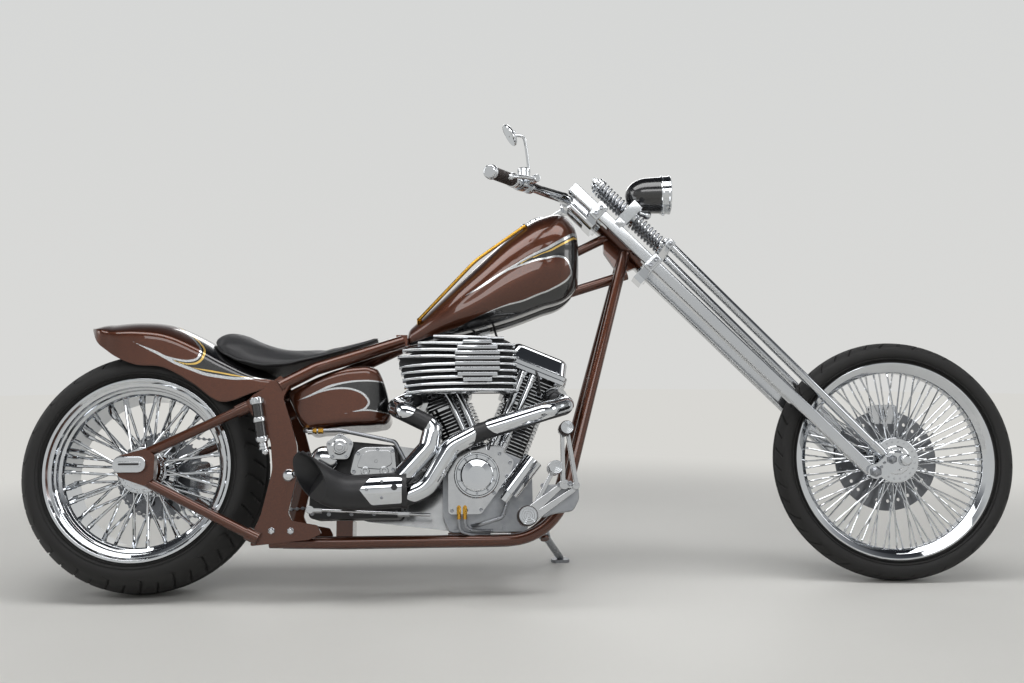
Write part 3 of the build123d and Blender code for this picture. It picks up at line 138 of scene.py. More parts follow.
class WheelSettings(PropertyGroup):
    """Counts and sizes of the wheels' repeated forms."""

    rear_spokes: IntProperty(
        name="Rear spokes", description="Spokes in the rear wheel", default=60, min=12, max=120
    )
    front_spokes: IntProperty(
        name="Front spokes", description="Spokes in the front wheel", default=80, min=12, max=120
    )
    tread_blocks: IntProperty(
        name="Tread grooves", description="Slanted grooves round each tyre", default=44, min=8, max=90
    )
    groove_depth: FloatProperty(name="Groove depth", description="Depth of the tread grooves",
                                default=0.0055, min=0.001, max=0.01, subtype="DISTANCE", unit="LENGTH")


class StageSettings(PropertyGroup):
    """Camera, lamps and floor."""

    lens: FloatProperty(
        name="Lens", description="Focal length on a 36 mm sensor, in millimetres",
        default=35.16, min=10, max=200
    )
    camera_place: FloatVectorProperty(
        name="Camera", description="Where the camera stands", size=3, default=(-0.24624, -2.9715, 0.6557),
        subtype="TRANSLATION", unit="LENGTH"
    )
    camera_turn: FloatVectorProperty(
        name="Camera turn", description="Pan, tilt and roll of the camera", size=3,
        subtype="EULER", unit="ROTATION",
        default=(math.radians(-3.911), math.radians(0.506), math.radians(0.115))
    )
    floor: StringProperty(name="Floor", description="Pale floor colour", default="D8D7D3")
    key_power: FloatProperty(name="Overhead lamp", description="Power of the large overhead lamp, in watts",
                             default=80, min=0)


SETTINGS = {"bike_paint": PaintSettings, "bike_wheels": WheelSettings, "bike_stage": StageSettings}


def settings(name):
    """The scene's settings group of that name."""
    return getattr(bpy.context.scene, name)


# Colours and nodes


def linear(hex_colour):
    """An sRGB hex value as a linear colour with alpha."""
    channels = []
    for index in (0, 2, 4):
        value = int(hex_colour[index:index + 2], 16) / 255
        channels.append(value / 12.92 if value <= 0.04045 else ((value + 0.055) / 1.055) ** 2.4)
    return (*channels, 1.0)


def feed(tree, node, links):
    """Links sockets into a node's inputs by name or by number."""
    for name, source in links.items():
        tree.links.new(source, node.inputs[name])


def add_node(tree, kind, options=None, values=None, links=None):
    """Adds one node with its options, input values and the sockets that feed it."""
    node = tree.nodes.new("ShaderNode" + kind)
    for name, value in (options or {}).items():
        setattr(node, name, value)
    for name, value in (values or {}).items():
        node.inputs[name].default_value = value
    feed(tree, node, links or {})
    return node


def new_material(name, values):
    """A material with one principled shader: returns it, its tree, the shader and Object coordinates."""
    material = bpy.data.materials.new(name)
    material.use_nodes = True
    tree = material.node_tree
    tree.nodes.clear()
    shader = add_node(tree, "BsdfPrincipled", values=values)
    add_node(tree, "OutputMaterial", links={"Surface": shader.outputs["BSDF"]})
    return material, tree, shader, add_node(tree, "TexCoord").outputs["Object"]


EDGE_ROUND = 0.8 * MM  # how far a painted or moulded edge is eased
METALS = {  # colour, cloudy colour, low and high roughness, cloud size mm, grain size mm, grain height mm
    # Chrome plate on polished steel: a clean mirror with faint cloudy wiping marks
    "chrome_plate": ("D6D8DA", "C8CBCF", 0.02, 0.06, 60, 18, 0.002),
    # Steel polished bright under a thin plate, a little softer than the chrome of the covers
    "polished_steel": ("D0D2D4", "BEC1C5", 0.08, 0.15, 60, 18, 0.002),
    # Aluminium polished on a wheel: softer than chrome, with fine swirls
    "polished_aluminium": ("D2D3D4", "BABCBF", 0.06, 0.15, 26, 6, 0.003),
    # Aluminium as cast and bead blasted: an even satin with a sandy grain
    "cast_aluminium": ("A9ABAE", "888B90", 0.26, 0.42, 22, 1.2, 0.02),
    # Turned and zinc plated steel of fixings, springs and linkages
    "plated_steel": ("A4A6AA", "8A8D92", 0.22, 0.36, 12, 1.4, 0.008),
    # Ground steel of brake discs, darkened by use
    "ground_steel": ("86888C", "6C6E72", 0.22, 0.36, 40, 2.0, 0.006),
    # Bare brass, drawn and hand polished
    "drawn_brass": ("D8A94A", "B98A34", 0.14, 0.28, 16, 1.5, 0.006),
    # Mirror glass, silvered behind
    "silvered_glass": ("C9CED2", "C9CED2", 0.01, 0.015, 40, 20, 0.001),
}


DULL_FINISHES = {  # the same columns
    # Tyre rubber: deep matt black with grey dust in patches and a fine moulded grain
    "tyre_rubber": ("161617", "242322", 0.62, 0.82, 55, 1.3, 0.05),
    # Soft grip rubber, brown black and slightly greasy
    "grip_rubber": ("2B1C17", "1A1210", 0.45, 0.62, 14, 1.0, 0.04),
    # Hose and boot rubber
    "hose_rubber": ("141415", "1E1E1F", 0.42, 0.60, 20, 1.2, 0.02),
    # Baked ceramic coat on the silencer: satin, a little dry
    "black_ceramic": ("1D1D1F", "29292B", 0.36, 0.52, 26, 0.9, 0.02),
}


def eased_edges(tree):
    """The normal of a surface whose sharp edges are rounded over a little."""
    return add_node(tree, "Bevel", {"samples": 4}, {"Radius": EDGE_ROUND}).outputs["Normal"]


def cloudy_finish(name):
    """A metal, rubber or baked coat: cloudy colour and roughness over a fine grain. Dull edges are eased."""
    bare = name in METALS
    row = METALS[name] if bare else DULL_FINISHES[name]
    colour, cloudy, rough_low, rough_high, cloud, grain, height = row
    material, tree, shader, where = new_material(
        name, {"Metallic": 1.0} if bare else {"Specular IOR Level": 0.45}
    )
    texture = {"Detail": 4.0} if bare else {"Detail": 6.0, "Roughness": 0.6}
    clouds = add_node(
        tree, "TexNoise", values={"Scale": 1 / (cloud * MM), **texture}, links={"Vector": where}
    )
    tint = add_node(tree, "Mix", {"data_type": "RGBA"}, {"A": linear(colour), "B": linear(cloudy)},
                    {"Factor": clouds.outputs["Fac"]})
    rough = add_node(tree, "MapRange", values={"To Min": rough_low, "To Max": rough_high},
                     links={"Value": clouds.outputs["Fac"]})
    fine = add_node(tree, "TexNoise", values={"Scale": 1 / (grain * MM), "Detail": 3.0 if bare else 2.0},
                    links={"Vector": where})
    bump = add_node(tree, "Bump", values={"Distance": height * MM}, links={"Height": fine.outputs["Fac"]})
    if not bare:
        feed(tree, bump, {"Normal": eased_edges(tree)})
    feed(tree, shader, {"Base Color": tint.outputs["Result"], "Roughness": rough.outputs["Result"],
                        "Normal": bump.outputs["Normal"]})
    return material


def flake_colour(tree, where, paint):
    """Brown metallic base coat: light and dark flakes, drawn large enough to show."""
    flakes = add_node(tree, "TexVoronoi", values={"Scale": 1 / paint.flake}, links={"Vector": where})
    grey = add_node(tree, "SeparateColor", links={"Color": flakes.outputs["Color"]})
    spread = add_node(
        tree, "MapRange", values={"To Min": 0.0, "To Max": 0.55}, links={"Value": grey.outputs["Red"]}
    )
    colours = {"A": linear(paint.brown), "B": linear(paint.brown_dark)}
    flaked = add_node(tree, "Mix", {"data_type": "RGBA"}, colours, {"Factor": spread.outputs["Result"]})
    return flaked.outputs["Result"]


CLEAR_COAT = {"Coat Weight": 1.0, "Coat Roughness": 0.025, "Coat IOR": 1.5}


def brown_paint():
    """Metallic brown enamel under deep clear lacquer: it glows in the light and goes dark elsewhere."""
    values = {"Metallic": 0.72, "Roughness": 0.36, **CLEAR_COAT}
    material, tree, shader, where = new_material("brown_paint", values)
    flaked = flake_colour(tree, where, settings("bike_paint"))
    feed(tree, shader, {"Base Color": flaked, "Normal": eased_edges(tree)})
    return material


def black_paint():
    """Gloss black enamel under lacquer, with the faint waviness of sprayed paint."""
    paint = settings("bike_paint")
    material, tree, shader, where = new_material("black_paint", {"Roughness": 0.22, **CLEAR_COAT})
    dust = add_node(tree, "TexNoise", values={"Scale": 1 / (60 * MM), "Detail": 5.0}, links={"Vector": where})
    tint = add_node(tree, "Mix", {"data_type": "RGBA"}, {"A": linear(paint.black), "B": linear("121214")},
                    {"Factor": dust.outputs["Fac"]})
    peel = add_node(tree, "TexNoise", values={"Scale": 1 / (3 * MM)}, links={"Vector": where})
    bump = add_node(tree, "Bump", values={"Distance": 0.004 * MM},
                    links={"Height": peel.outputs["Fac"], "Normal": eased_edges(tree)})
    feed(tree, shader, {"Base Color": tint.outputs["Result"], "Normal": bump.outputs["Normal"]})
    return material


STRIPE_SOFT = 0.25  # how far a stripe's edge fades, in millimetres


def panel_paint():
    """Black and brown panels with silver and gold pinstripes, all under one lacquer.

    The piece's attributes are distances in millimetres, laid over one another from the gold up: each
    colour shows where its own is positive.
    """
    paint = settings("bike_paint")
    material, tree, shader, where = new_material("panel_paint", CLEAR_COAT)
    colour = add_node(tree, "RGB")
    colour.outputs[0].default_value = linear(paint.black)
    shown, metallic, rough = colour.outputs[0], None, None
    layers = [
        ("gold", linear(paint.gold), 0.55, 0.28),
        ("gap", linear(paint.black), 0.0, 0.22),
        ("silver", linear(paint.silver), 0.85, 0.20),
        ("brown", flake_colour(tree, where, paint), 0.72, 0.36),
    ]
    for name, layer, metal_share, roughness in layers:
        distance = add_node(tree, "Attribute", {"attribute_name": name})
        mask = add_node(tree, "MapRange", values={"From Min": -STRIPE_SOFT, "From Max": STRIPE_SOFT},
                        links={"Value": distance.outputs["Fac"]}).outputs["Result"]
        mix = add_node(tree, "Mix", {"data_type": "RGBA"}, links={"Factor": mask, "A": shown})
        if isinstance(layer, tuple):
            mix.inputs["B"].default_value = layer
        else:
            feed(tree, mix, {"B": layer})
        shown = mix.outputs["Result"]
        share = add_node(tree, "Mix", values={"A": 0.0, "B": metal_share}, links={"Factor": mask})
        gloss = add_node(tree, "Mix", values={"A": 0.25, "B": roughness}, links={"Factor": mask})
        if metallic is not None:
            feed(tree, share, {"A": metallic})
            feed(tree, gloss, {"A": rough})
        metallic, rough = share.outputs["Result"], gloss.outputs["Result"]
    feed(tree, shader, {"Base Color": shown, "Metallic": metallic, "Roughness": rough})
    return material


PEBBLE = 1.7  # size of the leather's pebbles, in millimetres


def seat_leather():
    """Black pebbled leather: satin on the pebbles, duller in the creases between them."""
    material, tree, shader, where = new_material(
        "seat_leather", {"Sheen Weight": 0.12, "Sheen Roughness": 0.4}
    )
    cells = add_node(tree, "TexVoronoi", {"feature": "DISTANCE_TO_EDGE"}, {"Scale": 1 / (PEBBLE * MM)},
                     {"Vector": where})
    crease = add_node(tree, "MapRange", values={"From Max": 0.25}, links={"Value": cells.outputs["Distance"]})
    worn = add_node(tree, "TexNoise", values={"Scale": 1 / (70 * MM), "Detail": 4.0}, links={"Vector": where})
    tint = add_node(tree, "Mix", {"data_type": "RGBA"}, {"A": linear("141416"), "B": linear("242427")},
                    {"Factor": worn.outputs["Fac"]})
    rough = add_node(tree, "MapRange", values={"To Min": 0.62, "To Max": 0.40},
                     links={"Value": crease.outputs["Result"]})
    bump = add_node(tree, "Bump", values={"Strength": 0.7, "Distance": 0.10 * MM},
                    links={"Height": crease.outputs["Result"]})
    feed(tree, shader, {"Base Color": tint.outputs["Result"], "Roughness": rough.outputs["Result"],
                        "Normal": bump.outputs["Normal"]})
    return material


def lamp_glass():
    """Clear pressed lamp glass with a faint moulded ripple."""
    material, tree, shader, where = new_material("lamp_glass", {
        "Base Color": linear("F4F7F8"), "Transmission Weight": 1.0, "Roughness": 0.02, "IOR": 1.5})
    ripple = add_node(tree, "TexNoise", values={"Scale": 1 / (9 * MM)}, links={"Vector": where})
    bump = add_node(tree, "Bump", values={"Distance": 0.05 * MM}, links={"Height": ripple.outputs["Fac"]})
    feed(tree, shader, {"Normal": bump.outputs["Normal"]})
    return material


FINISHES = {}
SLOT_OF = {  # the slots in the record whose names differ from their finish's
    "chrome_plate": "chrome", "polished_steel": "chrome", "silvered_glass": "chrome", "plated_steel": "steel",
    "ground_steel": "steel", "drawn_brass": "brass", "panel_paint": "brown_paint",
    "hose_rubber": "grip_rubber",
}


def make_finishes():
    """Makes every finish once, by name."""
    FINISHES.update({name: cloudy_finish(name) for name in (*METALS, *DULL_FINISHES)})
    for make in (brown_paint, black_paint, panel_paint, seat_leather, lamp_glass):
        FINISHES[make.__name__] = make()


NODE_FINISHES = {
    "chrome_plate": [
        "fork_trees", "fork_legs", "spring_legs", "rockers", "spring_perch", "front_axle", "handlebar",
        "mirror", "hand_controls", "collector_shield", "rear_axle", "pushrod_tubes", "oil_filter",
    ],
    "polished_aluminium": [
        "rocker_boxes", "air_cleaner", "gearcase_cover", "front_caliper", "rear_caliper", "primary_cover",
        "motor_mount",
    ],
    "cast_aluminium": ["crankcase", "carburettor"],
    "ground_steel": ["front_disc", "rear_sprocket"],
    "plated_steel": ["side_stand", "oil_lines"],
    "drawn_brass": ["sight_tube"],
    "brown_paint": [
        "backbone", "cradle", "side_plates", "rear_stays", "rear_fender", "fuel_tank", "oil_tank"
    ],
    "black_paint": ["reservoir", "headlamp"],
    "black_ceramic": ["muffler", "transmission", "exhaust_pipes"],
    "tyre_rubber": ["rear_tyre", "front_tyre"],
    "grip_rubber": ["grips"],
    "seat_leather": ["seat"],
    "lamp_glass": ["headlamp_lens"],
}


# Modelling helpers, all in millimetres on the upright machine


def absorb(bm, part):
    """Adds a part to the piece that is being made."""
    scratch = bpy.data.meshes.new("scratch")
    part.to_mesh(scratch)
    part.free()
    bm.from_mesh(scratch)
    bpy.data.meshes.remove(scratch)


def along(start, end):
    """The matrix that stands a Z shape midway between two points, and their distance."""
    way = Vector(end) - Vector(start)
    turn = way.to_track_quat("Z", "Y").to_matrix().to_4x4()
    return Matrix.Translation((Vector(start) + Vector(end)) / 2) @ turn, way.length


def round_over(part, items, width, steps=2, affect="EDGES"):
    """Rounds edges, or the corners of a flat outline, over by a bevel."""
    bmesh.ops.bevel(part, geom=items, offset=width, offset_type="OFFSET", segments=steps, profile=0.5,
                    affect=affect, clamp_overlap=True, material=-1)


def rod(bm, start, end, radius, end_radius=None, sides=20, ease=0.0):
    """A round or many sided bar between two points, with its ends eased."""
    part = bmesh.new()
    place, length = along(start, end)
    last = radius if end_radius is None else end_radius
    bmesh.ops.create_cone(part, cap_ends=True, segments=sides, radius1=radius, radius2=last, depth=length,
                          matrix=place)
    if ease:
        rims = [e for e in part.edges if any(len(f.verts) == sides for f in e.link_faces)]
        round_over(part, rims, ease)
    absorb(bm, part)


def lathe(bm, outline, centre, axis=LEFT, steps=64, ease=0.0):
    """A turned form: an outline of radius and distance along the axis, spun about the axis."""
    part = bmesh.new()
    axis = Vector(axis).normalized()
    side = axis.orthogonal().normalized()
    corners = [part.verts.new(Vector(centre) + side * r + axis * h) for r, h in outline]
    part.faces.new(corners)
    if ease:
        round_over(part, corners, ease, affect="VERTICES")
    bmesh.ops.delete(part, geom=list(part.faces), context="FACES_ONLY")
    bmesh.ops.spin(part, geom=[*part.verts, *part.edges], cent=Vector(centre), axis=axis, angle=2 * math.pi,
                   steps=steps, use_merge=True)
    bmesh.ops.remove_doubles(part, verts=part.verts, dist=0.001)
    bmesh.ops.recalc_face_normals(part, faces=part.faces)
    absorb(bm, part)


def block(bm, place, size, ease=1.0, steps=2):
    """A box with eased edges."""
    part = bmesh.new()
    bmesh.ops.create_cube(part, size=1.0, matrix=place @ Matrix.Diagonal((*size, 1.0)))
    if ease:
        round_over(part, list(part.edges), ease, steps)
    absorb(bm, part)


def plate(bm, outline, low, high, corner=4.0, ease=1.0):
    """A flat plate from low to high along Y: X, Z corners rounded by corner, with eased rims."""
    part = bmesh.new()
    corners = [part.verts.new((x, low, z)) for x, z in outline]
    part.faces.new(corners)
    if corner:
        round_over(part, corners, corner, 4, "VERTICES")
    grown = bmesh.ops.extrude_face_region(part, geom=list(part.faces), use_keep_orig=True)
    moved = [item for item in grown["geom"] if isinstance(item, bmesh.types.BMVert)]
    bmesh.ops.translate(part, verts=moved, vec=(0, high - low, 0))
    bmesh.ops.recalc_face_normals(part, faces=part.faces)
    if ease:
        rims = [e for e in part.edges if abs(e.verts[0].co.y - e.verts[1].co.y) < 1e-6]
        round_over(part, rims, ease)
    absorb(bm, part)


def ball(bm, centre, radius, segments=24):
    """A ball."""
    part = bmesh.new()
    bmesh.ops.create_uvsphere(part, u_segments=segments, v_segments=segments // 2, radius=radius,
                              matrix=Matrix.Translation(Vector(centre)))
    absorb(bm, part)


def bolt(bm, seat, way, radius, height, style="cap"):
    """A fixing on a surface: a socket cap screw, a hex head, or a domed nut, standing up along way."""
    seat, way = Vector(seat), Vector(way).normalized()
    if style == "hex":
        rod(bm, seat, seat + way * height, radius, sides=6, ease=radius * 0.1)
        return
    if style == "dome":
        rod(bm, seat, seat + way * height * 0.5, radius, sides=6, ease=radius * 0.1)
        cap = [(0, 0), (radius * 0.82, 0), (radius * 0.78, height * 0.25), (radius * 0.5, height * 0.52),
               (0, height * 0.62)]
        lathe(bm, cap, seat + way * height * 0.45, way, steps=14)
        return
    bore = radius * 0.5
    cup = [(0, 0), (radius, 0), (radius, height), (bore, height), (bore, height * 0.45), (0, height * 0.45)]
    lathe(bm, cup, seat, way, steps=14, ease=radius * 0.12)


def tube(bm, points, radius, sides=6, smooth=12):
    """A tube along a smooth curve through given points."""
    curve = bpy.data.curves.new("route", "CURVE")
    curve.dimensions = "3D"
    curve.bevel_depth = radius
    curve.bevel_resolution = sides
    curve.resolution_u = smooth
    curve.use_fill_caps = True
    spline = curve.splines.new("NURBS")
    spline.points.add(len(points) - 1)
    for point, place in zip(spline.points, points):
        point.co = (*place, 1.0)
    spline.order_u = min(4, len(points))
    spline.use_endpoint_u = True
    route = bpy.data.objects.new("route", curve)
    mesh = bpy.data.meshes.new_from_object(route)
    part = bmesh.new()
    part.from_mesh(mesh)
    bmesh.ops.remove_doubles(part, verts=part.verts, dist=0.001)
    bmesh.ops.recalc_face_normals(part, faces=part.faces)
    absorb(bm, part)
    bpy.data.objects.remove(route)
    bpy.data.curves.remove(curve)
    bpy.data.meshes.remove(mesh)


def arc(start, middle, end, count):
    """Points of the circular arc through three points of a flat outline, ends included."""
    (ax, ay), (bx, by), (cx, cy) = start, middle, end
    d = 2 * (ax * (by - cy) + bx * (cy - ay) + cx * (ay - by))
    ux = ((ax**2 + ay**2) * (by - cy) + (bx**2 + by**2) * (cy - ay) + (cx**2 + cy**2) * (ay - by)) / d
    uy = ((ax**2 + ay**2) * (cx - bx) + (bx**2 + by**2) * (ax - cx) + (cx**2 + cy**2) * (bx - ax)) / d
    radius = math.hypot(ax - ux, ay - uy)
    first = math.atan2(ay - uy, ax - ux)
    mid, last = ((math.atan2(y - uy, x - ux) - first) % (2 * math.pi) for x, y in (middle, end))
    if mid > last:
        last -= 2 * math.pi
    angles = [first + last * i / (count - 1) for i in range(count)]
    return [(ux + radius * math.cos(angle), uy + radius * math.sin(angle)) for angle in angles]


def make_piece(bm, name, finish, stands_for="", sharp=32.0, body="main_frame"):
    """Sets a finished form in place as a piece that rides on its body, the frame unless another is named."""
    bmesh.ops.transform(bm, matrix=PLACES[body], verts=bm.verts)
    limit = math.radians(sharp)
    for face in bm.faces:
        face.smooth = True
    for edge in bm.edges:
        edge.smooth = len(edge.link_faces) == 2 and edge.calc_face_angle(0.0) < limit
    mesh = bpy.data.meshes.new(name)
    bm.to_mesh(mesh)
    bm.free()
    piece = bpy.data.objects.new(name, mesh)
    bpy.context.scene.collection.objects.link(piece)
    mesh.materials.append(FINISHES[finish])
    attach(piece, body)
    SLOT_OF.get(finish, finish)
    if finish in METALS:
        piece.modifiers.new("flat_faces", "WEIGHTED_NORMAL").keep_sharp = True
    if stands_for:
        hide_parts(stands_for)
    return piece


# Wheels
TYRES = {  # body, hub, outer radius, bead seat radius, width, rim width
    "rear_tyre": ("rear_wheel", REAR_HUB, 325.0, 228.6, 240.0, 216.0),
    "front_tyre": ("front_wheel", FRONT_HUB, 338.7, 266.7, 90.0, 54.6),
}
RIM_FLANGE = 14.0
WALL_RINGS = ((0.16, 0.8), (0.22, 0.8), (0.62, 1.0), (0.74, 1.0))  # share of the wall's height, ring height
GROOVE_PHASES = (0.0, 0.035, 0.125, 0.16, 0.37, 0.58, 0.79)  # groove edges and land, shares of a pitch


def wall_points(start, middle, end):
    """A side wall from the bead to the shoulder, with its raised rings."""
    points = arc(start, middle, end, 9)
    for share, rise in WALL_RINGS:
        place = share * (len(points) - 1)
        low = int(place)
        (r0, y0), (r1, y1) = points[low], points[low + 1]
        t = place - low
        r, y = r0 + (r1 - r0) * t, y0 + (y1 - y0) * t
        out = math.copysign(rise, y)
        for shift, lift in ((-2.2, 0.0), (-1.2, out), (1.2, out), (2.2, 0.0)):
            points.append((r + shift, y + lift))
    return sorted(points, key=lambda point: point[0])


def tyre(name):
    """One tyre: side walls with raised rings, and a crown with slanted grooves and two channels round it."""
    body, hub, outer_r, seat_r, width, rim_width = TYRES[name]
    wheels = settings("bike_wheels")
    depth = wheels.groove_depth / MM
    half, bead, wall_r = width / 2, rim_width / 2 - 1.5, seat_r + RIM_FLANGE + 2.0
    wide_r = (outer_r + seat_r + RIM_FLANGE) / 2 - 4.0
    shoulder_r, shoulder = outer_r - width * 0.12 - 6.0, half * 0.92
    wall = wall_points((wall_r, -bead), (wide_r, -half), (shoulder_r, -shoulder))
    crown = arc((shoulder_r, -shoulder), (outer_r, 0.0), (shoulder_r, shoulder), 31)
    channel = half * 0.17
    crown = [(r - (depth * 0.9 if abs(abs(y) - channel) < half * 0.04 else 0.0), y) for r, y in crown]
    other = [(r, -y) for r, y in reversed(wall)]
    outline = [(seat_r + 0.3, -bead), *wall[:-1], *crown, *other[1:], (seat_r + 0.3, bead)]
    phases = len(GROOVE_PHASES)
    blocks = wheels.tread_blocks
    steps = blocks * phases
    part = bmesh.new()
    lathe(part, outline, hub, steps=steps)
    tread_r = shoulder_r - width * 0.05
    pitch = 2 * math.pi / blocks
    for vert in part.verts:
        flat = vert.co - hub
        radius = math.hypot(flat.x, flat.z)
        if radius < tread_r:
            continue
        angle = math.atan2(flat.z, flat.x)
        column = round(angle / (pitch / phases))
        block_index, phase = divmod(column, phases)
        reach = abs(flat.y) / half
        side = max(-1.0, min(1.0, flat.y / (half * 0.12)))
        slant = pitch * (0.25 * side + 0.9 * reach)
        cut = 0.24 < reach < 0.97 if block_index % 2 else 0.24 < reach < 0.80
        drop = depth if phase in (1, 2) and cut else 0.0
        fade = min(1.0, (radius - tread_r) / (width * 0.05))
        turned = (block_index + GROOVE_PHASES[phase]) * pitch + slant * fade
        turned += (angle - column / phases * pitch) * (1 - fade)
        vert.co = on_circle(hub, radius - drop, turned, flat.y)
    make_piece(part, name + "_moulded", "tyre_rubber", name, 28, body)


class MOTORCYCLE_OT_tyres(Operator):
    """Both tyres, with their grooves and side wall rings"""

    bl_idname = "motorcycle.tyres"
    bl_label = "Tyres"

    def execute(self, context):
        for name in TYRES:
            tyre(name)
        return {"FINISHED"}


REAR_RIM = [  # radius and distance from the middle, one side
    (212, 68), (228.6, 80), (228.6, 108), (242.6, 108), (242.6, 114), (235.6, 114), (229.6, 107),
    (221.6, 105), (220.6, 91), (215.6, 89), (214.6, 76), (207, 72), (203, 62),
]
FRONT_RIM = [
    (256, 12), (266.7, 17), (266.7, 27.3), (280.7, 27.3), (280.7, 31.8), (275.7, 32.3), (262.7, 27.3),
    (252, 17), (250, 12),
]
Laced = namedtuple("Laced", "body hub bore_r hub_r flange_r flange_y well_r spoke_r lean rim_y")
SPOKES = {  # radii and distances from the middle of the wheel, and how far a spoke leans, in degrees
    "rear_spokes": Laced("rear_wheel", REAR_HUB, 12.8, 40.0, 62.0, 68.0, 203.0, 4.0, 14.0, 50.0),
    "front_spokes": Laced("front_wheel", FRONT_HUB, 10.3, 27.0, 64.0, 34.0, 250.0, 2.4, 12.0, 6.0),
}


def spoke_lines(name):
    """Start and end of each spoke: crossed in pairs from both flanges, and evenly spaced at the rim."""
    wheel, count = SPOKES[name], getattr(settings("bike_wheels"), name)
    for index in range(count):
        side = 1 if index % 2 else -1
        outer = index % 4 < 2
        tip = math.radians(index * 360 / count)
        foot = tip - math.radians(wheel.lean if outer else -wheel.lean)
        rim_y = side * wheel.rim_y * (0.45 if outer else 1.0)
        yield (on_circle(wheel.hub, wheel.flange_r - 2 * wheel.spoke_r, foot, side * wheel.flange_y),
               on_circle(wheel.hub, wheel.well_r + 1, tip, rim_y))


def spoke_set(name):
    """The plated spokes, each slim at its bent foot and thick towards the rim, with its nipple."""
    hub, spoke_r = SPOKES[name].hub, SPOKES[name].spoke_r
    part = bmesh.new()
    for start, end in spoke_lines(name):
        way = (end - start).normalized()
        thick = start + (end - start) * 0.42
        out = LEFT * math.copysign(1, (start - hub).y)
        rod(part, start, thick, spoke_r * 0.55, spoke_r * 0.98, sides=10)
        rod(part, thick, end, spoke_r * 0.98, sides=10)
        rod(part, end - way * spoke_r * 4.2, end, spoke_r * 1.32, sides=6, ease=0.3)
        rod(part, start - out * spoke_r * 1.1, start + out * spoke_r * 1.3, spoke_r * 0.75, sides=8)
    return part


def hub_outline(hub_r, flange_r, flange_y, bore_r):
    """The turned outline of a hub shell with two flanges and a stepped dome on each side."""
    side = [
        (flange_r, flange_y - 3), (flange_r, flange_y + 2), (flange_r - 2, flange_y + 3),
        (hub_r + 14, flange_y + 3), (hub_r + 11, flange_y + 5), (hub_r + 2, flange_y + 5),
        (hub_r, flange_y + 6.5), (hub_r * 0.8, flange_y + 8), (bore_r, flange_y + 8),
    ]
    waist = [(hub_r * 0.85, 0), (hub_r, flange_y - 10), (flange_r - 9, flange_y - 3)]
    near = [(flange_r - 9, 3 - flange_y), (hub_r, 10 - flange_y)]
    return [(r, -y) for r, y in reversed(side)] + near + waist + side


class MOTORCYCLE_OT_wheels(Operator):
    """Rims, hubs and crossed spokes of both wheels"""

    bl_idname = "motorcycle.wheels"
    bl_label = "Wheels"

    def execute(self, context):
        for name, side, body, hub in (("rear_rim", REAR_RIM, "rear_wheel", REAR_HUB),
                                      ("front_rim", FRONT_RIM, "front_wheel", FRONT_HUB)):
            part = bmesh.new()
            lathe(part, side + [(r, -y) for r, y in reversed(side)], hub, steps=144, ease=1.0)
            make_piece(part, name + "_plated", "chrome_plate", name, 24, body)
        for name, wheel in SPOKES.items():
            part = spoke_set(name)
            outline = hub_outline(wheel.hub_r, wheel.flange_r, wheel.flange_y, wheel.bore_r)
            lathe(part, outline, wheel.hub, steps=72, ease=0.6)
            make_piece(part, name + "_laced", "chrome_plate", name, body=wheel.body)
            self.flange_holes(name, wheel)
        return {"FINISHED"}

    def flange_holes(self, name, wheel):
        """The eyes round each flange, each a small dish with a raised lip."""
        part = bmesh.new()
        radius = (wheel.hub_r + 14 + wheel.flange_r) / 2
        dish = [(0, 0), (2.6, 0), (2.6, 1.2), (1.9, 1.4), (1.6, 0.7), (0, 0.5)]
        for side in (-1, 1):
            for seat in around(wheel.hub, radius, 20, 9, side * (wheel.flange_y + 2.2)):
                lathe(part, dish, seat, LEFT * side, steps=10)
        make_piece(part, name.replace("spokes", "hub_eyes"), "plated_steel", body=wheel.body)


# Bodywork: grids of points over sections along X. A half section runs from the crown down one side
TANK_SECTIONS = [  # X, floor, crown, half width, height of the widest line
    (706, 672, 717, 40, 692), (800, 692, 804, 88, 740), (900, 715, 904, 110, 796), (1000, 744, 997, 121, 866),
    (1090, 778, 1055, 119, 912), (1160, 806, 1063, 100, 934), (1197, 842, 1030, 66, 942),
]
FENDER_SECTIONS = [  # X, crown, shoulder, low edge, half width
    (-144, 716, 708, 702, 98), (-130, 727, 702, 676, 118), (-90, 735, 690, 638, 134),
    (-20, 740, 688, 602, 141), (60, 731, 678, 592, 142), (140, 697, 644, 548, 142),
    (210, 657, 606, 500, 142), (300, 607, 566, 524, 138), (366, 574, 556, 548, 128),
]
FENDER_END = FENDER_SECTIONS[-1][0]
SEAT_SECTIONS = [  # X, underside, crown, half width
    (172, 640, 700, 64), (205, 630, 711, 108), (245, 612, 705, 122), (300, 596, 679, 126),
    (360, 596, 660, 122), (440, 616, 657, 106), (510, 640, 666, 86), (575, 664, 684, 62), (628, 690, 697, 36),
]
OIL_TANK_SECTIONS = [  # X, floor, crown, half width
    (384, 517, 538, 86), (400, 482, 545, 94), (416, 448, 552, 98), (432, 431, 560, 100), (470, 430, 577, 103),
    (520, 435, 595, 104), (570, 439, 603, 103), (606, 441, 603, 98), (630, 444, 588, 90), (646, 446, 548, 80),
    (660, 456, 492, 66),
]
FENDER_WALL = 3.0
FENDER_POINTS = 84  # points of each half section on the outer skin, and as many inside
BACKBONE_RISE = (892 - 681) / (1345 - 690)
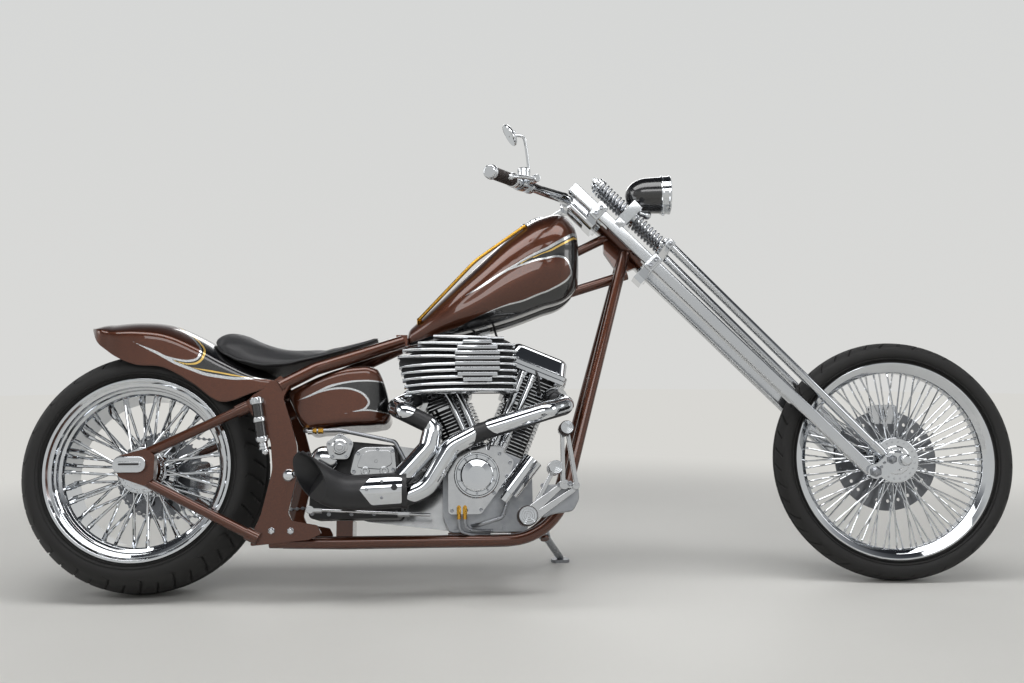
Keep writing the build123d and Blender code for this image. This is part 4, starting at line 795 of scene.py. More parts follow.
# Edges of the paint: strokes of X, Y, Z, then the widths of silver, gap and gold, 0 where left out
TANK_PAINT = [
    [(704, 13, 716, 2.5), (757, 28, 764, 2.5), (830, 36, 835, 2.5), (901, 50, 898, 3), (974, 58, 958, 3),
     (1034, 55, 1012, 3), (1085, 48, 1045, 3), (1130, 42, 1056, 4, 2, 0.5), (1160, 40, 1056, 5, 3, 2.5),
     (1180, 50, 1042, 6, 4, 4), (1187, 66, 1020, 7.5, 4.5, 5), (1173, 93, 995, 8, 4.5, 5.5),
     (1135, 113, 963, 8, 4, 5.5), (1079, 123, 929, 7, 3, 4.5), (1024, 124, 899, 5.5, 0.5, 1),
     (988, 122, 875, 4), (934, 115, 842, 3), (884, 106, 812, 2), (852, 100, 792, 1)],
    [(852, 100, 792, 1), (884, 106, 809, 2), (934, 115, 837, 3), (988, 122, 868, 4), (1042, 122, 888, 5),
     (1097, 119, 905, 5.5), (1134, 111, 909, 6), (1157, 102, 900, 6), (1166, 93, 880, 6),
     (1160, 90, 857, 6), (1134, 95, 838, 5.5), (1097, 100, 819, 5), (1042, 104, 796, 5), (988, 106, 776, 4),
     (940, 103, 759, 2), (900, 97, 742), (845, 84, 716), (791, 70, 699), (704, 34, 676)],
]
FENDER_PAINT = [
    [(48, 0, 733, 4, 3, 4), (54, 34, 728, 5, 3.5, 5), (68, 62, 720, 5, 4, 5.5), (100, 88, 700, 5.5, 4.5, 6),
     (134, 116, 668, 6, 4.5, 6), (152, 137, 641, 6, 4.5, 6), (148, 142, 620, 6, 4.5, 6),
     (126, 142, 611, 6, 3.5, 5), (95, 142, 615, 5, 1.5, 1.5), (63, 142, 624, 4), (42, 142, 634, 3),
     (0, 141, 653, 2), (-34, 141, 668, 0.6)],
    [(-34, 141, 668, 0.6), (0, 141, 650, 2.5), (37, 142, 630, 4.5), (85, 142, 602, 7),
     (138, 142, 580, 8, 1, 1), (165, 142, 571, 8, 4, 4), (205, 142, 562, 8, 4.5, 4),
     (243, 142, 558, 7.5, 3, 3.5), (276, 140, 558, 6.5, 0.5, 1), (310, 137, 562, 4), (350, 130, 566, 2)],
]
OIL_TANK_PAINT = [
    [(390, 0, 502, 0.6), (411, 0, 509, 2), (464, 0, 533, 5), (490, 0, 546, 6), (532, 0, 557, 5),
     (570, 0, 562, 4.5), (610, 0, 563, 4), (668, 0, 556, 3)],
    [(668, 0, 470, 2.5), (638, 0, 474, 3), (598, 0, 478, 4), (566, 0, 475, 4), (532, 0, 469, 0.6)],
    [(532, 0, 469, 0.6), (566, 0, 478, 3), (590, 0, 486, 5), (600, 0, 500, 5.5), (590, 0, 518, 5.5),
     (559, 0, 534, 5), (517, 0, 537, 5), (480, 0, 531, 4), (430, 0, 513, 2), (390, 0, 502, 0.6)],
]


def flowing(table, stations):
    """A table read smoothly by its first column at each station."""
    table, stations = np.array(table, float), np.array(stations, float)
    xs, values = table[:, 0], table[:, 1:]
    slopes = np.gradient(values, xs, axis=0)
    low = np.clip(np.searchsorted(xs, stations, side="right") - 1, 0, len(xs) - 2)
    gap = (xs[low + 1] - xs[low])[:, None]
    t = (stations - xs[low])[:, None] / gap
    start, end = values[low], values[low + 1]
    leave, reach = slopes[low] * gap, slopes[low + 1] * gap
    return ((2 * t**3 - 3 * t**2 + 1) * start + (t**3 - 2 * t**2 + t) * leave
            + (3 * t**2 - 2 * t**3) * end + (t**3 - t**2) * reach)


def stations_along(first, last, count, round_first, round_last):
    """Stations along X, close together where an end rounds off, and how far each section pulls in there."""
    turn = np.linspace(0, math.pi / 2, 9)
    head = first + round_first * (1 - np.sin(turn[::-1]))
    tail = last - round_last * (1 - np.sin(turn))
    middle = np.linspace(head[-1], tail[0], count)[1:-1]
    pulls = [round_first * (1 - np.cos(turn[::-1])), np.zeros(len(middle)), round_last * (1 - np.cos(turn))]
    stations, pulls = np.concatenate([head, middle, tail]), np.concatenate(pulls)
    keep = np.concatenate([[True], np.diff(stations) > 1e-6])
    return stations[keep], pulls[keep]


def run_along(points):
    """How far along the line through some points each of them lies."""
    return np.concatenate([[0], np.cumsum(np.linalg.norm(np.diff(points, axis=0), axis=1))])


def points_at(points, places):
    """Points of a line at distances along it."""
    points = np.array(points, float)
    run = run_along(points)
    return np.stack([np.interp(places, run, points[:, k]) for k in range(points.shape[1])], axis=1)


def spread_evenly(points, count):
    """As many points as asked for, evenly along a line through the given ones."""
    return points_at(points, np.linspace(0, run_along(np.array(points, float))[-1], count))


def soften(path, passes):
    """Rounds a half section's corners over, with its two ends kept on the middle plane."""
    for _ in range(passes):
        path[1:-1] = path[:-2] * 0.25 + path[1:-1] * 0.5 + path[2:] * 0.25
    return path


def half_sections(table, stations, pulls, outline, count, passes):
    """The half section at every station: evenly spread, softened and pulled in at the ends."""
    half = []
    for row, x, pull in zip(flowing(table, stations), stations, pulls):
        path = soften(spread_evenly(outline(x, *row), count), passes)
        middle = (path[:, 1].max() + path[:, 1].min()) / 2
        tall, wide = (path[:, 1].max() - path[:, 1].min()) / 2, path[:, 0].max()
        path[:, 0] *= max(0.0, 1 - pull / wide)
        path[:, 1] = middle + (path[:, 1] - middle) * max(0.0, 1 - pull / tall)
        half.append(path)
    return np.array(half)


def skin(bm, stations, half, fields=None, wall=False):
    """Both sides of a grid of half sections, closed round and capped at both ends. A wall folds back."""
    layers = [(bm.verts.layers.float.new(name), values) for name, values in (fields or {}).items()]
    count = half.shape[1]
    rows = []
    for i, x in enumerate(stations):
        sides = []
        for side in (-1, 1):
            verts = []
            for j in range(count):
                y, z = half[i, j]
                if side > 0 and j in (0, count - 1):
                    verts.append(sides[0][j])
                    continue
                vert = bm.verts.new((x, side * y, z))
                for layer, values in layers:
                    vert[layer] = values[i, j]
                verts.append(vert)
            sides.append(verts)
        rows.append(sides)
    for near, far in zip(rows, rows[1:]):
        for a, b in zip(near, far):
            for j in range(count - 1):
                bm.faces.new((a[j], a[j + 1], b[j + 1], b[j]))
    for right, left in (rows[0], rows[-1]):
        for j in range((count // 2 if wall else count) - 1):
            if wall:
                for side in (right, left):
                    bm.faces.new((side[j], side[j + 1], side[count - 2 - j], side[count - 1 - j]))
            else:
                corners = [right[j], right[j + 1], left[j + 1], left[j]]
                bm.faces.new(list(dict.fromkeys(corners)))
    bmesh.ops.recalc_face_normals(bm, faces=bm.faces)


def inside(points, corners):
    """Which points lie inside a closed flat outline."""
    x, y = points[..., 0], points[..., 1]
    found = np.zeros(x.shape, bool)
    for (x0, y0), (x1, y1) in zip(corners, np.roll(corners, -1, axis=0)):
        if y0 != y1:
            found ^= ((y0 > y) != (y1 > y)) & (x < (x1 - x0) * (y - y0) / (y1 - y0) + x0)
    return found


def paint_fields(stations, half, strokes, closing, sign, flat=False):
    """Distances in millimetres from the edge of the brown, positive on it, then past each stripe beside it.

    The strokes are laid over the skin. Closing joins their ends where there is no edge to stripe, and
    sign is 1 where they go round brown, -1 where they go round black. Flat work is measured in side view.
    """
    count = half.shape[1]
    x = np.repeat(stations[:, None], count, axis=1)
    steps = np.linalg.norm(np.diff(half, axis=1), axis=2)
    down = np.concatenate([np.zeros((len(stations), 1)), np.cumsum(steps, axis=1)], axis=1)
    down = half[..., 1] if flat else down
    cloud = np.stack([x, np.zeros_like(x) if flat else half[..., 0], half[..., 1]], axis=2).reshape(-1, 3)
    nearest = KDTree(len(cloud))
    for index, point in enumerate(cloud):
        nearest.insert(point, index)
    nearest.balance()
    path = []
    for stroke in strokes:
        knots = []
        for sx, sy, sz, *widths in stroke:
            index = nearest.find((sx, sy, sz))[1]
            place = (sx, sz) if flat else (min(max(sx, stations[0]), stations[-1]), down.reshape(-1)[index])
            knots.append((*place, *widths, *[0] * (3 - len(widths))))
        knots = np.array(knots)
        run = run_along(knots[:, :2])
        path.append(flowing(np.column_stack([run, knots]), np.linspace(0, run[-1], int(run[-1] / 0.7))))
    corners = np.concatenate([*(p[:, :2] for p in path), np.array(closing, float).reshape(-1, 2)])
    edge_points = KDTree(sum(len(p) for p in path))
    widths = []
    for px, pd, *spread in np.concatenate(path):
        row = int(np.clip(np.searchsorted(stations, px) - 1, 0, len(stations) - 2))
        t = (px - stations[row]) / (stations[row + 1] - stations[row])
        y, z = 0.0, pd
        if not flat:
            y, z = ((1 - t) * np.interp(pd, down[row], half[row, :, k])
                    + t * np.interp(pd, down[row + 1], half[row + 1, :, k]) for k in (0, 1))
        edge_points.insert((px, y, z), len(widths))
        widths.append(np.maximum(spread, 0.0))
    edge_points.balance()
    found = [edge_points.find(point) for point in cloud]
    reach = np.array([hit[2] for hit in found]).reshape(x.shape)
    silver, gap, gold = (np.array([widths[hit[1]][k] for hit in found]).reshape(x.shape) for k in (0, 1, 2))
    edge = np.where(inside(np.stack([x, down], axis=2), corners), reach, -reach) * sign
    return {
        "brown": edge, "silver": edge + silver, "gap": edge + silver + gap, "gold": edge + silver + gap + gold
    }


def tank_outline(x, floor, crown, wide, widest):
    """The tank's half section: a soft shoulder, a tucked lower side and the tunnel for the backbone."""
    upper = arc((0, crown), (wide * 0.70, widest + (crown - widest) * 0.82), (wide, widest), 60)
    low = wide * 0.62
    lower = arc((wide, widest), (wide * 0.93, (floor * 1.4 + widest) / 2.4), (low, floor), 30)
    roof = min(crown - 8, 681 + (x - 690) * BACKBONE_RISE + 26)
    return [*upper, *lower[1:], (24, floor), (23, max(roof, floor + 1)), (0, max(roof, floor + 1) + 0.5)]


def fender_height(crown, shoulder, wide, y):
    """How high the fender's round top stands at a distance from the middle."""
    rise = crown - shoulder
    radius = (wide**2 + rise**2) / (2 * rise)
    return crown - radius + math.sqrt(max(radius**2 - y**2, 0.0))


def fender_outline(x, crown, shoulder, low, wide):
    """The fender's half section: out along its skin, round the rolled edge and back inside."""
    path = []
    for way, grow in ((1, 0.0), (-1, -FENDER_WALL)):
        top = [
            (y, fender_height(crown + grow, shoulder, wide + grow, y))
            for y in np.linspace(0, wide + grow, 40)
        ]
        side = [(wide + grow, z) for z in np.linspace(shoulder, low, 20)[1:]]
        path.extend((top + side)[::way])
    return path


def oil_tank_outline(x, floor, crown, wide):
    """The oil tank's half section: a box with round corners."""
    r = min(18.0, (crown - floor) * 0.45)
    top = arc((wide - r, crown), (wide - r * 0.293, crown - r * 0.293), (wide, crown - r), 9)
    low = arc((wide, floor + r), (wide - r * 0.293, floor + r * 0.293), (wide - r, floor), 9)
    return [(0, crown + 2), *top, *low, (0, floor)]


class MOTORCYCLE_OT_fuel_tank(Operator):
    """The long fuel tank with its painted panels and its cap"""

    bl_idname = "motorcycle.fuel_tank"
    bl_label = "Fuel tank"

    def execute(self, context):
        stations, pulls = stations_along(706, 1197, 176, 8, 22)
        half = half_sections(TANK_SECTIONS, stations, pulls, tank_outline, 122, 5)
        fields = paint_fields(stations, half, TANK_PAINT, [], 1)
        part = bmesh.new()
        skin(part, stations, half, fields)
        make_piece(part, "fuel_tank_painted", "panel_paint", "fuel_tank", 50)
        part = bmesh.new()
        seat, way = Vector((1076, 0, 1045)), Vector((-0.42, 0, 0.908))
        outline = [(0, -6), (38, -6), (38, 1), (35, 3), (31, 3.4), (31, 8), (28, 11), (12, 13), (0, 13.5)]
        lathe(part, outline, seat, way, ease=0.8)
        for turn in range(24):
            spoke = Quaternion(way, math.radians(turn * 15)) @ way.orthogonal().normalized()
            rod(part, seat + spoke * 31 + way * 4, seat + spoke * 31 + way * 8, 1.5, sides=6)
        make_piece(part, "tank_cap", "chrome_plate")
        return {"FINISHED"}


class MOTORCYCLE_OT_fender(Operator):
    """The rear fender shell with its painted panels"""

    bl_idname = "motorcycle.fender"
    bl_label = "Fender"

    def execute(self, context):
        stations, pulls = stations_along(FENDER_SECTIONS[0][0], FENDER_END, 176, 0, 0)
        half = half_sections(FENDER_SECTIONS, stations, pulls, fender_outline, 2 * FENDER_POINTS, 0)
        for layer in (slice(FENDER_POINTS), slice(FENDER_POINTS, None)):
            half[:, layer] = [soften(path, 14) for path in half[:, layer]]
        closing = [(FENDER_END, 140), (FENDER_END, 0)]
        fields = paint_fields(stations, half[:, :FENDER_POINTS], FENDER_PAINT, closing, -1)
        fields = {name: np.concatenate([values, np.full_like(values, 40.0)], axis=1)
                  for name, values in fields.items()}
        part = bmesh.new()
        skin(part, stations, half, fields, wall=True)
        make_piece(part, "rear_fender_painted", "panel_paint", "rear_fender", 50)
        return {"FINISHED"}


class MOTORCYCLE_OT_oil_tank(Operator):
    """The oil tank under the seat with its painted teardrop"""

    bl_idname = "motorcycle.oil_tank"
    bl_label = "Oil tank"

    def execute(self, context):
        stations, pulls = stations_along(384, 660, 104, 6, 10)
        half = half_sections(OIL_TANK_SECTIONS, stations, pulls, oil_tank_outline, 110, 4)
        fields = paint_fields(stations, half, OIL_TANK_PAINT, [], -1, flat=True)
        part = bmesh.new()
        skin(part, stations, half, fields)
        make_piece(part, "oil_tank_painted", "panel_paint", "oil_tank", 50)
        return {"FINISHED"}


SEAT_LIFT = 1.5  # how far the seat stands off the fender
SEAT_SWELL = 5.0  # how far the padding may swell
SEAT_GRID = 5.0  # size of the padding's even mesh
SEAT_PRESSURE, SEAT_FRAMES = 4.0, 20  # how hard and for how many frames it is blown up
PIPING_R = 2.6


def seat_outline(x, floor, crown, wide):
    """The seat's half section: crowned, with a firm lower edge, saddling the fender where it reaches it."""
    top, shoulder, _, fender_wide = flowing(FENDER_SECTIONS, [min(x, FENDER_END)])[0]
    under = []
    for y in np.linspace(wide, 0, 24):
        low = floor + 2.0
        if x < FENDER_END + 6:
            low = max(low, fender_height(top, shoulder, fender_wide, y) + SEAT_LIFT)
        under.append((y, low))
    edge = max(under[0][1] + 10, floor + (crown - floor) * 0.34)
    upper = arc((0, crown), (wide * 0.62, edge + (crown - edge) * 0.66), (wide, edge), 30)
    return [*upper, *under]


class MOTORCYCLE_OT_seat(Operator):
    """The low leather seat, padded by a cloth simulation, with its piped edge"""

    bl_idname = "motorcycle.seat"
    bl_label = "Seat"

    def execute(self, context):
        stations, pulls = stations_along(174, 626, 100, 14, 10)
        half = half_sections(SEAT_SECTIONS, stations, pulls, seat_outline, 70, 3)
        part = bmesh.new()
        skin(part, stations, half)
        piece = make_piece(part, "seat_cover", "seat_leather", "seat", 80)
        self.swell(context, piece)
        self.piping(stations, half)
        return {"FINISHED"}

    def swell(self, context, piece):
        """Blows the padding up a little as cloth, with its underside held, and keeps the resulting mesh."""
        remesh = piece.modifiers.new("even", "REMESH")
        remesh.mode, remesh.voxel_size = "VOXEL", SEAT_GRID * MM
        bpy.context.view_layer.objects.active = piece
        bpy.ops.object.modifier_apply(modifier="even")
        mesh = piece.data
        rest = [v.co.copy() for v in mesh.vertices]
        down = (UPRIGHT.to_3x3() @ Vector((0, 0, -1))).normalized()
        held = piece.vertex_groups.new(name="held")
        for v in mesh.vertices:
            held.add([v.index], 1.0 if v.normal.dot(down) > 0.35 else 0.0, "REPLACE")
        cloth = piece.modifiers.new("padding", "CLOTH")
        cloth.settings.use_pressure = True
        cloth.settings.uniform_pressure_force = SEAT_PRESSURE
        cloth.settings.vertex_group_mass = "held"
        cloth.settings.effector_weights.gravity = 0.0
        for frame_number in range(1, SEAT_FRAMES + 1):
            context.scene.frame_set(frame_number)
        bpy.ops.object.modifier_apply(modifier="padding")
        for v, start in zip(mesh.vertices, rest):
            move = v.co - start
            if move.length > SEAT_SWELL * MM:
                v.co = start + move.normalized() * SEAT_SWELL * MM
        piece.vertex_groups.clear()
        context.scene.frame_set(1)
        smooth = piece.modifiers.new("smooth", "CORRECTIVE_SMOOTH")
        smooth.rest_source, smooth.iterations, smooth.use_only_smooth = "ORCO", 6, True
        bpy.ops.object.modifier_apply(modifier="smooth")
        finer = piece.modifiers.new("finer", "SUBSURF")
        finer.levels = finer.render_levels = 1

    def piping(self, stations, half):
        """The piping round the lower edge."""
        part = bmesh.new()
        for side in (-1, 1):
            edge = []
            for x, path in zip(stations[8:-6:4], half[8:-6:4]):
                j = int(np.argmax(path[:, 0] - path[:, 1] * 0.25))
                edge.append(Vector((x, side * (path[j, 0] + 0.5), path[j, 1])))
            tube(part, edge, PIPING_R, sides=4)
        make_piece(part, "seat_piping", "seat_leather")


# Engine and the pieces beside it
CRANK = Vector((925.0, 0.0, 250.0))
LEAN = 22.5
LEANS = {"front": LEAN, "rear": -LEAN}
CASE_SIDE = 92.0


def loft(bm, rings):
    """A closed form through rings of points, capped at both ends."""
    part = bmesh.new()
    rows = [[part.verts.new(point) for point in ring] for ring in rings]
    count = len(rings[0])
    for near, far in zip(rows, rows[1:]):
        for k in range(count):
            part.faces.new((near[k], near[(k + 1) % count], far[(k + 1) % count], far[k]))
    part.faces.new(rows[0][::-1])
    part.faces.new(rows[-1])
    bmesh.ops.recalc_face_normals(part, faces=part.faces)
    absorb(bm, part)


def rounded(width, depth, corner, steps=5):
    """Points of a rectangle with round corners."""
    points = []
    for x, y, first in ((1, 1, 0), (-1, 1, 90), (-1, -1, 180), (1, -1, 270)):
        for k in range(steps):
            angle = math.radians(first + 90 * k / (steps - 1))
            points.append((x * (width / 2 - corner) + corner * math.cos(angle),
                           y * (depth / 2 - corner) + corner * math.sin(angle)))
    return points


def stack(bm, place, levels, shift=0.0):
    """Rounded rectangles stacked along a place's Z: rows of height, width, depth and corner."""
    loft(bm, [[place @ Vector((x + shift, y, z)) for x, y in rounded(w, d, c)] for z, w, d, c in levels])


def cylinder_place(lean):
    """The place of a cylinder: Z up its axis from the crankshaft, X outwards from the V."""
    angle = math.radians(lean)
    up = Vector((math.sin(angle), 0, math.cos(angle)))
    out = Vector((math.cos(angle), 0, -math.sin(angle))) * (1 if lean > 0 else -1)
    return Matrix.Translation(CRANK) @ Matrix((out, up.cross(out), up)).transposed().to_4x4()


def keep_apart(bm, lean):
    """Keeps a cylinder's form on its own side of the V."""
    for vert in bm.verts:
        vert.co.x = max(vert.co.x, CRANK.x + 1.2) if lean > 0 else min(vert.co.x, CRANK.x - 1.2)


# First height, pitch, count, width, depth, corner and shift
BARREL_FINS = (130.0, 10.0, 13, 128.0, 126.0, 34.0, 0.0)
HEAD_FINS = (273.0, 10.0, 8, 152.0, 134.0, 26.0, 4.0)
FIN = 3.4


class MOTORCYCLE_OT_cylinders(Operator):
    """Barrels and heads with their fins, spark plugs and leads"""

    bl_idname = "motorcycle.cylinders"
    bl_label = "Cylinders"

    def execute(self, context):
        for name, lean in LEANS.items():
            place = cylinder_place(lean)
            core = bmesh.new()
            rod(core, place @ Vector((0, 0, 120)), place @ Vector((0, 0, 272)), 54, sides=40)
            stack(core, place, [(270, 122, 110, 20), (354, 122, 110, 20)])
            keep_apart(core, lean)
            make_piece(core, "cylinder_core_" + name, "black_ceramic")
            fins = bmesh.new()
            for first, pitch, count, width, depth, corner, shift in (BARREL_FINS, HEAD_FINS):
                for index in range(count):
                    z = first + index * pitch
                    rim, middle = (width - 1.6, depth - 1.6, corner), (width, depth, corner)
                    levels = [(z, *rim), (z + 0.8, *middle), (z + FIN - 0.8, *middle), (z + FIN, *rim)]
                    stack(fins, place, levels, shift)
            stack(fins, place, [(262, 118, 116, 30), (270, 118, 116, 30)])
            stack(fins, place, [(118.5, 132, 124, 30), (126, 132, 124, 30)])
            keep_apart(fins, lean)
            make_piece(fins, "cylinder_fins_" + name, "polished_aluminium", "cylinder_" + name, 30)
            self.plug(name, place)
        return {"FINISHED"}

    def plug(self, name, place):
        """A spark plug in the right side of the head, its boot and its lead up to the coil under the tank."""
        seat = place @ Vector((30, 0, 308))
        seat.y = -64
        hexagon = bmesh.new()
        rod(hexagon, seat, seat + Vector((0, -12, 2)), 9.5, sides=6, ease=0.8)
        make_piece(hexagon, "spark_plug_" + name, "plated_steel")
        lead = bmesh.new()
        tip = seat + Vector((0, -12, 2))
        rod(lead, tip, tip + Vector((0, -16, 5)), 7.5, 6.0, sides=14, ease=1.0)
        away = 1 if name == "front" else -1
        route = [tip + Vector(way) for way in ((0, -10, 3), (0, -26, 12), (0, -16, 56), (-away * 24, 20, 96))]
        route += [Vector((CRANK.x + away * 30, -30, 668)), Vector((CRANK.x + away * 26, -14, 738))]
        tube(lead, route, 3.4, sides=3)
        make_piece(lead, "plug_lead_" + name, "hose_rubber")


class MOTORCYCLE_OT_rocker_covers(Operator):
    """The stepped rocker covers with their sunk tops, flanges and screws"""

    bl_idname = "motorcycle.rocker_covers"
    bl_label = "Rocker covers"

    def execute(self, context):
        covers, screws = bmesh.new(), bmesh.new()
        for lean in LEANS.values():
            place = cylinder_place(lean)
            up = place.to_3x3() @ UP
            for levels in (
                    [(354.6, 184, 166, 16), (356, 188, 170, 18), (366, 188, 170, 18), (367.5, 186, 168, 17)],
                    [(367.5, 182, 164, 17), (369, 185, 167, 17), (379, 185, 167, 17), (380.6, 183, 165, 16)]):
                stack(covers, place, levels, -4)
            stack(covers, place, [
                (380.6, 172, 154, 20), (382.5, 176, 158, 21), (388, 174.5, 156.5, 22), (417, 162, 144, 24),
                (423, 157, 139, 24), (426.6, 148, 130, 20), (427.4, 140, 122, 16), (427.4, 128, 110, 12),
                (426.2, 125.5, 107.5, 11), (423.4, 124, 106, 10)], -6)
            for x in (-58, 58):
                for y in (-68, 68):
                    bolt(screws, place @ Vector((x - 4, y * 1.09, 380.6)), up, 5.2, 6)
            for x in (-46, 34):
                for y in (-32, 32):
                    bolt(screws, place @ Vector((x, y, 423.2)), up, 5.6, 4.5, "dome")
            for x in (-66, -22, 22, 66):
                for side in (-1, 1):
                    bolt(screws, place @ Vector((x - 4, side * 80, 354.4)), -up, 5, 5, "hex")
        make_piece(covers, "rocker_covers", "chrome_plate", "rocker_boxes", 26)
        make_piece(screws, "rocker_screws", "plated_steel")
        return {"FINISHED"}


PUSHRODS = ((938, 385, 1028), (962, 380, 1056), (912, 385, 822), (888, 380, 794))  # foot X, foot Z, top X


class MOTORCYCLE_OT_pushrods(Operator):
    """Pushrod tubes with their collars and clips, and the lifter blocks they stand on"""

    bl_idname = "motorcycle.pushrods"
    bl_label = "Pushrod tubes"

    def execute(self, context):
        tubes, blocks = bmesh.new(), bmesh.new()
        tilt = math.radians(LEAN)
        for foot_x, foot_z, top_x in PUSHRODS:
            top_z = CRANK.z + (352 - math.sin(tilt) * abs(top_x - CRANK.x)) / math.cos(tilt)
            foot, top = Vector((foot_x, -86, foot_z - 16)), Vector((top_x, -78, top_z))
            way = (top - foot).normalized()
            length = (top - foot).length
            outline = [
                (0, 0), (13, 0), (13.2, 3), (13.2, 9), (11.5, 11), (11.5, 20), (12.6, 22), (12.6, 27), (11, 29),
                (11, 46), (12.4, 47), (12.4, 53), (9.2, 55), (9.2, length - 20), (11.2, length - 18),
                (11.2, length - 9), (12.6, length - 7), (12.6, length - 1), (0, length - 1),
            ]
            lathe(tubes, outline, foot, way, steps=24)
            side = way.cross(LEFT).normalized()
            clip = foot + way * 58 - LEFT * 9.4
            for reach in (-3.0, 3.0):
                rod(tubes, clip + side * reach, clip + side * reach + way * 46, 1.1, sides=6)
        for x, z, lean in ((950, 375, 12.0), (900, 375, -12.0)):
            place = Matrix.Translation((x, -88, z)) @ Matrix.Rotation(math.radians(lean), 4, "Y")
            stack(blocks, place, [(-20, 48, 30, 7), (-18, 50, 32, 8), (3, 50, 32, 8), (5, 48, 30, 7)])
            stack(blocks, place, [(-27, 58, 36, 9), (-20, 58, 36, 9)])
            for dx in (-23, 23):
                bolt(blocks, place @ Vector((dx, -12, -20)), place.to_3x3() @ UP, 4, 5)
        make_piece(tubes, "pushrod_tubes_plated", "chrome_plate", "pushrod_tubes")
        make_piece(blocks, "lifter_blocks", "polished_aluminium")
        return {"FINISHED"}


AIR_FACE = -150.0  # the side of the air cleaner's case
COVER_MIDDLE, COVER_R, COVER_BARS = Vector((896, 0, 596)), 63.0, 8


class MOTORCYCLE_OT_air_cleaner(Operator):
    """The air cleaner: curved bright blades over a black case, and the eight sided slotted cover, with a black
    plate behind its bars as painted shade in the slots
    """

    bl_idname = "motorcycle.air_cleaner"
    bl_label = "Air cleaner"

    def execute(self, context):
        case, blades, cover = bmesh.new(), bmesh.new(), bmesh.new()
        outline = [(682, 606), (784, 656), (958, 666), (994, 650), (994, 516), (716, 516)]
        plate(case, outline, -196, AIR_FACE + 6, 12, 2)
        for vert in case.verts:
            if vert.co.y < -170:
                vert.co.y += self.bend(vert.co.x) + 20
        rod(case, (925, 26, 590), (925, AIR_FACE, 590), 31, sides=32)
        rod(case, (835, 0, 584), (1015, 0, 584), 21, sides=28)
        # The black eight sided plate behind the cover's bars is painted shade: it darkens the slots between
        # them
        corners = [(p.x, p.z) for p in around(COVER_MIDDLE, COVER_R, 8, 22.5)]
        plate(case, corners, AIR_FACE - 55, AIR_FACE - 30, 3, 1.0)
        make_piece(case, "air_cleaner_case_and_slot_shade", "black_ceramic")
        for index in range(9):
            z = 515.0 + index * 17.6
            left = 706 - index * 4.6 if z < 612 else 676 + (z - 612) * 2.35
            right = 1002 - max(0.0, z - 636) * 1.7
            self.blade(blades, left, right, z, 10.5, index)
        make_piece(blades, "air_cleaner_blades", "chrome_plate", "air_cleaner", 40)
        for index in range(COVER_BARS):
            z = 540 + index * 14.6
            reach = 60.0 / math.cos(math.radians(22.5)) - max(0.0, abs(z + 4.4 - COVER_MIDDLE.z) - 25)
            half = min(60.0, reach)
            low, high = COVER_MIDDLE.x - half, COVER_MIDDLE.x + half
            bar = [(low, z), (high, z), (high, z + 9.4), (low, z + 9.4)]
            plate(cover, bar, AIR_FACE - 62, AIR_FACE - 40, 2.5, 1.2)
        make_piece(cover, "air_cleaner_cover", "chrome_plate")
        return {"FINISHED"}

    def bend(self, x):
        """How far the blades fall back towards the engine at a distance along them."""
        return 30.0 * max(0.0, (790 - x) / 110) ** 2 + 12.0 * max(0.0, (x - 950) / 52) ** 2

    def blade(self, bm, left, right, z, height, index):
        """One blade: a bar with a rounded front edge that falls back at both ends."""
        rings = []
        for x in np.linspace(left, right, 26):
            share = (x - left) / (right - left)
            front = AIR_FACE - 52 + self.bend(x)
            slim = height * (0.72 + 0.28 * math.sin(math.pi * min(1.0, share * 1.2)))
            low = z - 5.0 * (1 - share) ** 2 * (1 if index < 5 else -1)
            edge = ((30, 0), (4, 0), (1.2, 0.14), (0, 0.35), (0, 0.65), (1.2, 0.86), (4, 1), (30, 1))
            rings.append([Vector((x, front + y, low + slim * rise)) for y, rise in edge])
        loft(bm, rings)


